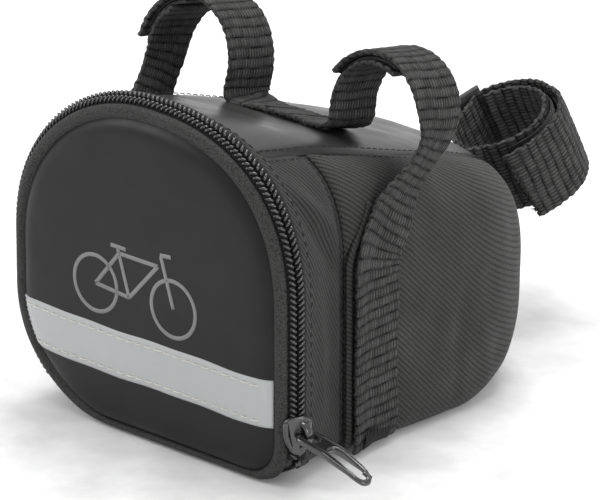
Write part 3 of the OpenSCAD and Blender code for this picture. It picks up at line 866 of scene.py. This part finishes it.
strip_outer = np.stack([gusset_ring(t, out) for t, out in profile])
strip_inner = np.stack([gusset_ring(t + 0.8, out, 0.8) for t, out in profile])
piece(shell("lid_strip", strip_outer, strip_inner, STRIP, cloth_uv(strip_outer), wrap=True),
      "lid", "skin_twill", "lid_gusset")

# Reflective stripe with its two rows of stitching
low, high = cad("reflective_stripe")
stripe_zs = np.linspace(low[2], high[2], 26)


def reach(z, side):
    """X of the face's edge at height z, on one side."""
    part = (rim_x * side > 0) & (rim_z < 60)
    order = np.argsort(rim_z[part])
    return np.interp(z, rim_z[part][order], rim_x[part][order]) - 0.15 * side


across = np.linspace(-1, 1, 140)
across = 0.5 + 0.5 * np.sign(across) * np.abs(across) ** 0.8
sx = (reach(stripe_zs, -1)[:, None] * (1 - across)[None, :]
      + reach(stripe_zs, 1)[:, None] * across[None, :])
sz = np.broadcast_to(stripe_zs[:, None], sx.shape) + 0.18 * np.sin(sx / 9.0) + 0.12 * np.sin(sx / 3.7 + 1)
rise = 0.32 * np.minimum(1, np.minimum(stripe_zs - low[2], high[2] - stripe_zs) / 0.5 + 0.25)[:, None]
sewn = hill(stripe_zs - low[2] - 1.9, 1.2) + hill(high[2] - 1.9 - stripe_zs, 1.2)
pucker = 0.07 * np.sin(sx * 2 * np.pi / 3.3) * sewn[:, None]
obj = shell("stripe", lid_point(sx, sz, rise + pucker), lid_point(sx, sz, -0.3), TAPE_SILVER,
            np.stack([sx, sz], -1))
piece(obj, "lid", "reflective", "reflective_stripe")
for name, z in (("low", low[2] + 2.0), ("high", high[2] - 2.0)):
    x = np.linspace(reach(z, -1) + 1.0, reach(z, 1) - 1.0, 200)
    zz = z + 0.15 * np.sin(x / 9.0) + 0.1 * np.sin(x / 4.1)
    p = lid_point(x, zz, 0.34)
    piece(stitches("stripe_stitch_" + name, p, -BACK, CREAM, 3.4, 0.5, 0.2), "lid",
          "thread")

# Printed pictogram of a bicycle
low, high = cad("emblem")
WHEEL, HALF_BASE, LINE = 9.5, 16.0, 0.65
MARK_X, MARK_Z = (low[0] + high[0]) / 2, low[2] + WHEEL
ink_verts, ink_faces = [], []


def ink_grid(p):
    """One stroke of the print: p is (rows, cols, 2) on the face."""
    start = sum(len(x) for x in ink_verts)
    outer = lid_point(p[..., 0], p[..., 1], 0.09).reshape(-1, 3)
    inner = lid_point(p[..., 0], p[..., 1], -0.2).reshape(-1, 3)
    ink_verts.append(np.concatenate([outer, inner]))
    ink_faces.append(wall_faces(*p.shape[:2]) + start)


def ink_ring(cx, cz, r):
    a = np.radians(np.linspace(0, 360, 73))
    ink_grid(np.stack([np.stack([cx + q * np.cos(a), cz + q * np.sin(a)], -1) for q in (r - LINE, r + LINE)]))


def ink_bar(a, b):
    a, b = np.array(a, float), np.array(b, float)
    side = np.array([-(b - a)[1], (b - a)[0]])
    side = side / np.hypot(*side) * LINE
    s = np.linspace(0, 1, 10)[:, None]
    ink_grid(np.stack([a + (b - a) * s - side, a + (b - a) * s + side]))


def mark(x, z):
    return MARK_X + x, MARK_Z + z


for hub in (-HALF_BASE, HALF_BASE):
    ink_ring(*mark(hub, 0), WHEEL - LINE)
for a, b in (((-16, 0), (-2, -1)), ((-16, 0), (-6, 12)), ((-2, -1), (-6.6, 13.6)), ((-6, 12), (10, 12)),
             ((-2, -1), (10, 12)), ((11.2, 15.5), (16, 0)), ((-9.5, 13.9), (-3.2, 13.9)),
             ((10.9, 15.8), (15.2, 16.2))):
    ink_bar(mark(*a), mark(*b))
mark_obj = solid("pictogram", np.concatenate(ink_verts), np.concatenate(ink_faces), INK)
piece(mark_obj, "lid", "emblem", "emblem")

# Foam and lining on the inside of the lid
for name, node, inset, material, slot in (("lid_pad", "lid_foam", 2.6, FOAM, "foam"),
                                          ("lid_cloth", "lid_lining", 2.4, LINING, "lining")):
    low, high = cad(node)
    scale = np.array([1.0, 0.985, 0.95, 0.85, 0.7, 0.5, 0.3, 0.12, 0.02, 0.003, 0.0003])
    x, z = rim(inset)
    gx = x[None, :] * scale[:, None]
    gz = LID_MID + (z - LID_MID)[None, :] * scale[:, None]
    flat = np.stack([gx, 0 * gx, gz], -1)
    swell = 0.3 * ripple(flat, 30, 51) * (1 - scale[:, None])
    front = np.stack([gx, np.full(gx.shape, low[1] + 0.1), gz], -1)
    back_t = high[1] - 0.45 * hill((1 - scale)[:, None] * 50, 1.2)
    back = np.stack([gx, np.broadcast_to(back_t, gx.shape) + swell, gz], -1)
    obj = shell(name, front, back, material, np.stack([gx, gz], -1), wrap=True)
    piece(obj, "lid", slot, node)

# ---- slider and pull ----
def rounded(points, r):
    """A polygon with its corners rounded; r is one radius or one for each corner."""
    points = np.array(points, float)
    n = len(points)
    radii = np.broadcast_to(np.asarray(r, float), (n,))
    out = []
    for i in range(n):
        a, b, c = points[i - 1], points[i], points[(i + 1) % n]
        p = b + unit(a - b) * min(radii[i], np.hypot(*(a - b)) * 0.48)
        q = b + unit(c - b) * min(radii[i], np.hypot(*(c - b)) * 0.48)
        for s in np.linspace(0, 1, 7):
            out.append((1 - s) ** 2 * p + 2 * s * (1 - s) * b + s * s * q)
    return np.array(out)


def cut_plate(name, outlines, thick, bevel, place, material):
    """A plate with rounded edges from 2-D outlines, holes included; place maps its points to mm."""
    curve = bpy.data.curves.new(name, "CURVE")
    curve.dimensions = "2D"
    curve.fill_mode = "BOTH"
    for points in outlines:
        spline = curve.splines.new("POLY")
        spline.points.add(len(points) - 1)
        flat, ones = np.zeros((len(points), 1)), np.ones((len(points), 1))
        spline.points.foreach_set("co", np.concatenate([points, flat, ones], 1).ravel())
        spline.use_cyclic_u = True
    curve.extrude = thick / 2 - bevel
    curve.bevel_depth = bevel
    curve.bevel_resolution = 2
    curve.offset = -bevel
    source = linked(name + "_outline", curve)
    mesh = bpy.data.meshes.new_from_object(source)
    bpy.data.objects.remove(source)
    co = np.zeros(len(mesh.vertices) * 3)
    mesh.vertices.foreach_get("co", co)
    mesh.vertices.foreach_set("co", (place(co.reshape(-1, 3)) * MM).ravel())
    work = bmesh.new()
    work.from_mesh(mesh)
    bmesh.ops.remove_doubles(work, verts=work.verts, dist=1e-6)
    work.to_mesh(mesh)
    work.free()
    finish_mesh(mesh, material)
    obj = linked(name, mesh)
    shade = obj.modifiers.new("edges", "WEIGHTED_NORMAL")
    shade.keep_sharp = True
    return obj


low, high = cad("slider_body")
SLIDE_Z = (low[2] + high[2]) / 2
SLIDE_Y = ZIP_AT - ORIGIN_T
PLATE_X = ZIP_W / 2 + COIL_OUT + 0.25


def slider_place(p, lift=0.0):
    """Plate coordinates: x runs along the zip downwards, y across it, z outwards."""
    p = p + np.array([0, 0, lift])
    rise = p[:, 2] - 0.05 * p[:, 1] ** 2
    x = PLATE_X + rise * math.cos(TILT) + p[:, 1] * math.sin(TILT)
    y = SLIDE_Y - 0.5 + p[:, 1] * math.cos(TILT) - rise * math.sin(TILT)
    return np.stack([x, y, SLIDE_Z - p[:, 0]], -1)


def outer_place(p):
    return slider_place(p, 0.85)


def inner_place(p):
    return np.stack([ZIP_W / 2 - 3.0 + p[:, 2], SLIDE_Y + p[:, 1], SLIDE_Z - p[:, 0]], -1)


shield = rounded([(-6, -2.6), (-6, 2.6), (-4.2, 4.6), (1.0, 4.3), (5.2, 2.3), (6.2, 0),
                  (5.2, -2.3), (1.0, -4.3), (-4.2, -4.6)], 1.6)
slider = cut_plate("slider_plate", [shield], 1.7, 0.55, outer_place, METAL)
piece(slider, "slider", "slider", "slider_body")
inner = rounded([(-5.6, -2.4), (-5.6, 2.4), (0, 2.9), (5.6, 1.8), (5.6, -1.8), (0, -2.9)], 1.2)
piece(cut_plate("slider_back", [inner], 1.1, 0.35, inner_place, METAL), "slider", "slider")


def swept(name, path, across, half_w_, half_h, material, sides=14, ends=0.35):
    """A smooth bar with an oval section along a path."""
    t = unit(np.gradient(path, axis=0))
    w = unit(across - (across * t).sum(-1, keepdims=True) * t)
    n = np.cross(w, t)
    a = np.arange(sides) * 2 * np.pi / sides
    c = np.sign(np.cos(a)) * np.abs(np.cos(a)) ** 0.7
    s = np.sign(np.sin(a)) * np.abs(np.sin(a)) ** 0.7
    size = np.ones(len(path))
    size[0] = size[-1] = ends
    hw = np.broadcast_to(half_w_, (len(path),)) * size
    hh = np.broadcast_to(half_h, (len(path),)) * size
    wide, high_ = (c[None, :] * hw[:, None])[..., None], (s[None, :] * hh[:, None])[..., None]
    v = path[:, None] + w[:, None] * wide + n[:, None] * high_
    faces = quads(len(path), sides, True).tolist()
    last = (len(path) - 1) * sides
    faces += [list(range(sides))[::-1], [last + k for k in range(sides)]]
    return solid(name, v.reshape(-1, 3), faces, material)


bow = np.radians(np.linspace(-14, 194, 30))
bail_path = np.stack([PLATE_X + 1.0 + 3.4 * np.maximum(np.sin(bow), -0.3), np.full(30, SLIDE_Y),
                      SLIDE_Z + 3.9 * np.cos(bow) + 0.2], -1)
bail = swept("slider_bail", bail_path, BACK, 1.25, 0.62, METAL)
piece(bail, "slider", "slider")
for side in (-1, 1):
    ridge_s = np.linspace(0, 1, 16)
    ridge = slider_place(np.stack([8.6 * ridge_s - 4.6, side * (3.4 - 1.3 * ridge_s**2),
                                   1.6 + 0.25 * np.sin(np.pi * ridge_s)], -1))
    piece(swept(f"slider_shoulder_{side + 1}", ridge, BACK, 0.75, 0.45, METAL, ends=0.2), "slider", "slider")

pull_joint = next(j for j in frame["joints"] if j["name"] == "pull_swing")
PIVOT = np.array(pull_joint["pos_m"]) / MM
droop = math.radians(9)
PULL_L = 26.0


def pull_place(p):
    thin = 1 - 0.25 * ease((p[:, 0] - 6) / 18)
    bend = -0.012 * np.maximum(0, p[:, 0] - 8) ** 2
    x = p[:, 0] * math.cos(droop) + (p[:, 2] * thin + bend) * math.sin(droop)
    z = -p[:, 0] * math.sin(droop) + (p[:, 2] * thin + bend) * math.cos(droop)
    return np.stack([PIVOT[0] + x, PIVOT[1] + p[:, 1], PIVOT[2] + z], -1)


tab = rounded([(-1.0, -3.0), (0.8, -4.2), (8.0, -4.3), (PULL_L - 3.4, -3.4), (PULL_L, -1.9), (PULL_L, 1.9),
               (PULL_L - 3.4, 3.4), (8.0, 4.3), (0.8, 4.2), (-1.0, 3.0)],
              [1, 1.6, 3, 2, 1.8, 1.8, 2, 3, 1.6, 1])
slot = rounded([(0.7, -2.0), (5.4, -2.0), (5.4, 2.0), (0.7, 2.0)], 0.9)
eye = rounded([(10.2, -1.5), (12.4, -2.1), (PULL_L - 3.6, -1.9), (PULL_L - 1.5, -1.0),
               (PULL_L - 1.5, 1.0), (PULL_L - 3.6, 1.9), (12.4, 2.1), (10.2, 1.5)], 1.3)
piece(cut_plate("pull", [tab, slot, eye], 1.8, 0.6, pull_place, METAL), "pull", "slider", "pull_tab")
knob_s = np.linspace(0, 1, 10)
knob = pull_place(np.stack([PULL_L - 3.9 + 3.0 * knob_s, 1.6 + 0.6 * knob_s, 0.35 + 0 * knob_s], -1))
piece(swept("pull_knob", knob, BACK, 0.75, 0.6, METAL, ends=0.3), "pull", "slider")

# ---- webbing ----
mounts = {m["name"]: m for m in frame["record"]["mounts"]}
LOOP_MID = np.array(mounts["saddle_rail_right"]["pos_m"]) / MM
LOOP_LEAN = math.radians(11)
LOOP_OUT = np.array([0, math.sin(LOOP_LEAN), math.cos(LOOP_LEAN)])
LOOP_ACROSS = np.array([0, math.cos(LOOP_LEAN), -math.sin(LOOP_LEAN)])
LOOP_AT = LOOP_MID[1] + ORIGIN_T
WEB_T, PATCH_T = 1.5, 0.9
RAIL_W, POST_W = 20, 25
RAIL_R, POST_R, CLEAR = 14.6, 14.7, 0.3
INNER_R = RAIL_R + WEB_T / 2
OUTER_R = RAIL_R + 1.5 * WEB_T + 2 * PATCH_T + CLEAR
FLIP = np.array([-1, 1, 1])
FLOAT_W, FLOAT_L = 1.2, 3.1


def floats(u, v, seed):
    """The relief of coarse webbing: rows of short warp floats, each row half a thread from the next."""
    rng = np.random.default_rng(seed)
    size = rng.uniform(0.7, 1.1, (64, 512))
    place = v / FLOAT_L + 0.05 * np.sin(u / 2.3 + seed)
    row = np.floor(place)
    fv = place - row - 0.5
    shifted = u / FLOAT_W + (row % 2) * 0.5
    column = np.floor(shifted)
    fu = shifted - column - 0.5
    bump = np.sqrt(np.maximum(0, 1 - (2 * fu / 1.02) ** 2)) * np.maximum(0, 1 - (2 * fv / 0.98) ** 2) ** 0.4
    return bump * size[column.astype(int) % 64, row.astype(int) % 512]


def band(name, path, across, width, material, thick=WEB_T, relief=0.42, warp=None, cut=None, step=0.42,
         cols=84, soften=8, seed=1, narrow=None):
    """A flat strap along a path, with woven relief on both faces and rounded, slightly ragged edges."""
    both, s = resample(np.concatenate([path, across], 1), step)
    p = smooth_line(both[:, :3], soften)
    t = unit(np.gradient(p, axis=0))
    w = smooth_line(both[:, 3:], soften)
    w = unit(w - (w * t).sum(-1, keepdims=True) * t)
    n = np.cross(w, t)
    e = np.linspace(-1, 1, cols)
    u = np.broadcast_to(e * width / 2, (len(s), cols))
    v = np.broadcast_to(s[:, None], u.shape)
    ragged = 0.16 * np.sin(v * 2 * np.pi / 2.6) * np.abs(e) ** 12 if relief else 0.0
    edge = np.clip((np.abs(u) - (width / 2 - 0.7)) / 0.7, 0, 1)
    half = (thick / 2 - relief * 0.6) * np.sqrt(1 - 0.85 * edge**2)
    lift = warp(u, v, s[-1]) if warp else 0.0
    weave_top = relief * floats(u + 20 * FLOAT_W, v, seed) if relief else 0.0
    weave_low = relief * floats(u + 20 * FLOAT_W, v + FLOAT_L / 2, seed + 1) if relief else 0.0
    slide = cut(u, v, s[-1]) if cut else 0.0
    bunch = narrow(v) if narrow else 1.0
    flat = (p[:, None] + w[:, None] * (u * (bunch + ragged / (width / 2)))[..., None]
            + t[:, None] * (slide + 0 * u)[..., None])
    top = flat + n[:, None] * (lift + half + weave_top + 0 * u)[..., None]
    low_ = flat + n[:, None] * (lift - half - weave_low + 0 * u)[..., None]
    for side in (top, low_):
        side[..., 2] = np.maximum(side[..., 2], 0.0)
    verts = np.concatenate([top, low_[:, ::-1]], 1)
    m, k = verts.shape[:2]
    faces = quads(m, k, True)
    j = np.arange(cols - 1)
    start = np.stack([j, 2 * cols - 1 - j, 2 * cols - 2 - j, j + 1], -1)
    end = (m - 1) * k + start[:, ::-1]
    uv = np.concatenate([np.stack([u, v], -1), np.stack([u, v], -1)[:, ::-1]], 1)
    obj = solid(name, verts.reshape(-1, 3), np.concatenate([faces, start, end]), material, uv.reshape(-1, 2))
    if relief:
        # the stored relief drives the webbing's painted shade in the hollows and painted highlight on the
        # floats
        woven_height = np.concatenate([weave_top, weave_low[:, ::-1]], 1) / relief
        stored = obj.data.attributes.new("relief", "FLOAT", "POINT").data
        stored.foreach_set("value", woven_height.ravel().astype(np.float32))
    return obj


def loop_point(r, a):
    a = np.radians(np.asarray(a, float))[..., None]
    return LOOP_MID + r * np.cos(a) * np.array([1, 0, 0]) + r * np.sin(a) * LOOP_OUT


def loop_arc(r, a0, a1):
    p = loop_point(r, np.linspace(a0, a1, max(4, int(abs(a1 - a0) / 2))))
    return p, np.broadcast_to(LOOP_ACROSS, p.shape)


def side_run(lift=1.35, ahead=0.0):
    phi = np.concatenate([np.linspace(-42, -30, 16), np.linspace(-29, 30, 45)])
    at = 43.5 - ahead + 12 * ease((phi - 10) / 24)
    return body(at, phi, -lift), body(at + 5, phi, -lift) - body(at - 5, phi, -lift)


def top_run():
    phi = np.linspace(90, 74, 12)
    return body(np.full(12, LOOP_AT), phi, -WEB_T / 2 - 0.35), body(LOOP_AT + 5, phi) - body(LOOP_AT - 5, phi)


def join(*parts):
    return np.concatenate([p for p, _ in parts]), np.concatenate([unit(a) for _, a in parts])


def leg(r, a1):
    turn = loop_point(r, 205)[None] + np.array([-1.5, -0.5, -0.7])
    return join(top_run(), (turn, LOOP_ACROSS[None]), loop_arc(r, 200, a1))


def mirrored(part):
    return part[0] * FLIP, part[1] * FLIP


def turned(part):
    return part[0][::-1], part[1][::-1]


def side_warp(u, v, total):
    """The front edge of the side strap stands off the bag, and the strap waves a little."""
    on_side = ease((112 - v) / 18)
    off = 1.7 * ease((-u - 1) / 9) * on_side
    return off + 0.22 * np.sin(v / 6.5 + 0.8) * on_side + 0.12 * np.sin(u / 4 + v / 11)


def left_warp(u, v, total):
    return -side_warp(u, v, total)


def bunched(v):
    """The side strap is drawn narrower where it turns off the bag into its loop."""
    return 1 - 0.3 * hill(v - 92, 13)


def loose(u, v, total):
    return 0.18 * np.sin(v / 8.0 + u / 9.0) + 0.1 * np.sin(v / 3.7)


def slanted_end(amount, sign=1):
    def cut(u, v, total):
        return sign * amount * (u / 10) * ease((v - total + 6) / 6)
    return cut


right = join(side_run(), loop_arc(OUTER_R, -10, 152))
obj = band("right_strap", *right, RAIL_W, WEBBING, warp=side_warp, cut=slanted_end(0.6), soften=150, seed=3,
           narrow=bunched)
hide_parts("right_side_webbing", "right_strap_tab")
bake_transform(obj)

left_arm = mirrored(leg(OUTER_R, 6))
centre = join(turned(left_arm), tuple(x[1:] for x in leg(INNER_R, 62)))
obj = band("centre_strap", *centre, RAIL_W, WEBBING, warp=loose, soften=40, seed=5)
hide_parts("centre_webbing", "left_strap_tab")
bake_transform(obj)

# The folded edge of the fabric under each side strap shows as a thin line in front of it
for name, turn_over in (("right_fold_edge", 1), ("left_fold_edge", -1)):
    fold = side_run(0.7, 10.4)
    fold = fold if turn_over > 0 else mirrored(fold)
    piece(band(name, *fold, 2.4, GUSSET, thick=1.0, relief=0, cols=12), "bag", "skin_twill")

left = mirrored(join(side_run(), loop_arc(INNER_R, -10, 62)))
piece(band("left_strap", *left, RAIL_W, WEBBING, warp=left_warp, soften=150, seed=7, narrow=bunched),
      "bag", "webbing", "left_side_webbing")


def fuzzy_strip(name, part, width, kind, ride, node, seed):
    """A strip of hook or loop tape, uneven as cut tape is."""
    def fuzz(u, v, total):
        p = np.stack([u, v, 0 * u], -1)
        return 0.08 * ripple(p, 1.4, seed) + 0.05 * ripple(p, 0.9, seed + 1)
    obj = band(name, *part, width, HOOK if kind == "hook" else LOOP, thick=PATCH_T * 0.8, relief=0, warp=fuzz,
               step=0.6, cols=40, soften=2)
    return piece(obj, ride, kind, node)


HOOK_R = OUTER_R - WEB_T / 2 - PATCH_T / 2 - 0.12
LOOP_R = INNER_R + WEB_T / 2 + PATCH_T / 2 + 0.12
TAPE_W = RAIL_W - 3
right_loop, left_loop = loop_arc(LOOP_R, 66, 176), mirrored(loop_arc(LOOP_R, 4, 80))
right_hook, left_hook = loop_arc(HOOK_R, 98, 149), mirrored(loop_arc(HOOK_R, 82, 9))
fuzzy_strip("right_loop_strip", right_loop, TAPE_W, "loop", "bag", "right_leg_loop_patch", 61)
fuzzy_strip("left_loop_strip", left_loop, TAPE_W, "loop", "bag", "left_leg_loop_patch", 62)
fuzzy_strip("right_hook_strip", right_hook, TAPE_W, "hook", "right_tab", "right_tab_hook_patch", 63)
fuzzy_strip("left_hook_strip", left_hook, TAPE_W, "hook", "left_tab", "left_tab_hook_patch", 64)

# Bartacks: close rows of thread across the straps
tack_paths, tack_normals = [], []
for side in (1, -1):
    for t0, t1, phi, lift in ((LOOP_AT - 8, LOOP_AT + 8, 83.5, WEB_T + 0.5),
                              (37.5, 49.5, -39.5, 1.35 + WEB_T / 2 + 0.1)):
        for i, t in enumerate(np.arange(t0, t1, 0.42)):
            spread = np.linspace(-1.3, 1.3, 5)
            wide = 1.6 if phi < 0 else 1.1
            p = body(t + 0.16 * (-1) ** i * np.linspace(-1, 1, 5), phi + spread * wide, -lift)
            n = unit(p - body(np.full(5, t), phi, 2.0))
            if phi < 0:
                p = p + n * (1.7 * ease((46 - t - 1) / 9))
            p = p + n * (0.3 * np.array([-1, 0.6, 1, 0.6, -1]))[:, None]
            tack_paths.append(p * np.array([side, 1, 1]))
            tack_normals.append(n * np.array([side, 1, 1]))
obj = tubes("bartack_rows", np.array(tack_paths), 0.2, 5, THREAD, normals=np.array(tack_normals))
piece(obj, "bag", "thread", "bartacks")

# ---- seat-post strap ----
POST_MID = np.array(mounts["seat_post"]["pos_m"]) / MM
POST_AXIS = unit(np.array(mounts["seat_post"]["axis"], float))
POST_U = unit(np.array([1.0, 0, 0]) - POST_AXIS[0] * POST_AXIS)
POST_V = np.cross(POST_AXIS, POST_U)
POST_INNER = POST_R + WEB_T / 2
POST_OUTER = POST_R + 1.5 * WEB_T + 2 * PATCH_T + CLEAR


def post_point(r, a):
    a = np.radians(np.asarray(a, float))[..., None]
    return POST_MID + np.asarray(r)[..., None] * (np.cos(a) * POST_U + np.sin(a) * POST_V)


def post_arc(r, a0, a1, grow=0.0):
    s = np.linspace(0, 1, max(4, int(abs(a1 - a0) / 3)))
    p = post_point(r + grow * s, a0 + (a1 - a0) * s)
    return p, np.broadcast_to(POST_AXIS, p.shape)


def neck(side):
    d = np.array([1.6, 3.0, 4.5])
    p = np.stack([np.full(3, 1.5 + side * 0.85), DEPTH + d - ORIGIN_T, 44 - d / 3], -1)
    start = unit(np.array([-0.15, -0.05, 1.0]))
    return p, unit(np.stack([start, unit(start + 0.5 * POST_AXIS), unit(start + POST_AXIS)]))


def post_wave(u, v, total):
    return 0.2 * np.sin(v / 7.0 + u / 8.0) + 0.12 * np.sin(v / 3.1 + 1)


post_inner = join(neck(1), post_arc(POST_INNER, -72, 150))
post_outer = join(neck(-1), post_arc(POST_INNER, -108, -185), post_arc(POST_OUTER, -205, -294))
for name, part, seed in (("inner", post_inner, 11), ("outer", post_outer, 13)):
    piece(band("post_" + name, *part, POST_W, WEBBING, warp=post_wave, cols=104, seed=seed),
          "bag", "webbing", "post_strap_" + name)


def tab_wave(u, v, total):
    return post_wave(u, v, total) * ease(v / 8)


def end_cut(u, v, total):
    return (1.6 * (u / 12) + 0.35 * np.sin(u * 3.1) + 0.25 * np.sin(u * 7.7 + 1)) * ease((v - total + 5) / 5)


tab_arc = post_arc(POST_OUTER, 66, -42, 5.0)
obj = band("post_tab", *tab_arc, POST_W, WEBBING, warp=tab_wave, cut=end_cut, cols=104, seed=15)
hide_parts("post_strap_end")
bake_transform(obj)
post_hook = post_arc(POST_OUTER - WEB_T / 2 - PATCH_T / 2 + 0.13, 56, -38, 4.5)
post_loop = post_arc(POST_INNER + WEB_T / 2 + PATCH_T / 2 + 0.12, -40, 145)
fuzzy_strip("post_hook_strip", post_hook, POST_W - 4, "hook", "post_end", "post_hook_patch", 65)
fuzzy_strip("post_loop_strip", post_loop, POST_W - 4, "loop", "bag", "post_loop_patch", 66)

# Frayed threads at the cut end
rng = np.random.default_rng(9)
end_p, end_w = tab_arc[0][-1], POST_AXIS
end_t = unit(tab_arc[0][-1] - tab_arc[0][-4])
end_n = np.cross(end_w, end_t)
threads = []
for i in range(46):
    u0 = rng.uniform(-12, 12)
    size = rng.uniform(0.6, 1.6) + (3.0 if i % 15 == 0 else 0)
    s = np.linspace(0, 1, 5)[:, None]
    bend = rng.normal(0, 0.5, 3) * s**2 * size
    aside = rng.uniform(-0.5, 0.5)
    threads.append(end_p + end_w * u0 + end_n * aside + end_t * (1.6 * u0 / 12 - 0.6 + size * s) + bend)
piece(tubes("frayed_end", np.array(threads), 0.11, 5, WEBBING), "post_end", "webbing")

# Smooth sleeve over the strap's outer layer
sleeve_part = post_arc(POST_OUTER + WEB_T / 2 + 0.65, 149, 173)
sleeve_path = resample(np.concatenate([sleeve_part[0] + 1.5 * POST_AXIS, sleeve_part[1]], 1), 0.4)[0]


def sleeve_swell(u, v, total):
    return 0.25 * (1 - (2 * v / total - 1) ** 2)


obj = band("sleeve", sleeve_path[:, :3], sleeve_path[:, 3:], POST_W + 0.5, SLEEVE, thick=1.3, relief=0,
           step=0.4, cols=60, soften=2, warp=sleeve_swell)
piece(obj, "bag", "sleeve", "post_strap_sleeve")

# Patch on the bag's rear that the strap is sewn to
low, high = cad("rear_anchor_patch")
obj = rounded_box("anchor", low - np.array([0, 0.4, 0]), high, 3.0, TOP)
piece(obj, "bag", "anchor", "rear_anchor_patch")
SEAM_IN = 1.8
x0, x1, z0, z1 = low[0] + SEAM_IN, high[0] - SEAM_IN, low[2] + SEAM_IN, high[2] - SEAM_IN
box_line = rounded([(x0, z0), (x1, z0), (x1, z1), (x0, z1)], 2.0)
box_line = np.concatenate([box_line, box_line[:1]])
p = np.stack([box_line[:, 0], np.full(len(box_line), high[1] + 0.1), box_line[:, 1]], -1)
piece(stitches("anchor_stitch", p, BACK, THREAD, 2.0, 0.9, 0.2), "bag", "thread")

# ---- floor, light and camera ----
floor_mat = surface("floor", (0.86, 0.86, 0.86), 0.8, smooth_skin(0.05, 0.0), spec=0.2)
ground = bpy.data.meshes.new("floor")
FLOOR_Z = -0.0006
corners = [(x, y, FLOOR_Z) for x, y in ((-4, -4), (4, -4), (4, 4), (-4, 4))]
ground.from_pydata(corners, [], [(0, 1, 2, 3)])
ground.materials.append(floor_mat)
linked("floor", ground)

world = bpy.data.worlds.new("studio")
bpy.context.scene.world = world
world.use_nodes = True
world.node_tree.nodes["Background"].inputs[0].default_value = (1, 1, 1, 1)
world.node_tree.nodes["Background"].inputs[1].default_value = 0.72


def lamp(name, where, aim, size, power):
    data = bpy.data.lights.new(name, "AREA")
    data.shape = "DISK"
    data.size = size
    data.energy = power
    obj = linked(name, data)
    obj.location = where
    obj.rotation_euler = (Vector(aim) - Vector(where)).to_track_quat("-Z", "Y").to_euler()


middle = (0, 0.02, 0.05)
lamp("top", (-0.1, 0.35, 1.1), middle, 0.7, 9.0)
lamp("left", (-0.9, -0.7, 0.7), middle, 0.6, 5.0)
lamp("right", (1.1, -0.1, 0.5), middle, 0.6, 4.0)

AZIMUTH, ELEVATION = math.radians(43), math.radians(21)
camera_data = bpy.data.cameras.new("camera")
camera_data.lens = 400
camera_data.sensor_width = 36
camera_data.clip_end = 50
camera = linked("camera", camera_data)
aim = Vector((0.0030, 0.0, 0.0438))
level = math.cos(ELEVATION)
away = Vector((math.sin(AZIMUTH) * level, -math.cos(AZIMUTH) * level, math.sin(ELEVATION)))
camera.location = aim + away * 2.012
camera.rotation_euler = (-away).to_track_quat("-Z", "Y").to_euler()
bpy.context.scene.camera = camera
bpy.context.scene.view_settings.view_transform = "Standard"
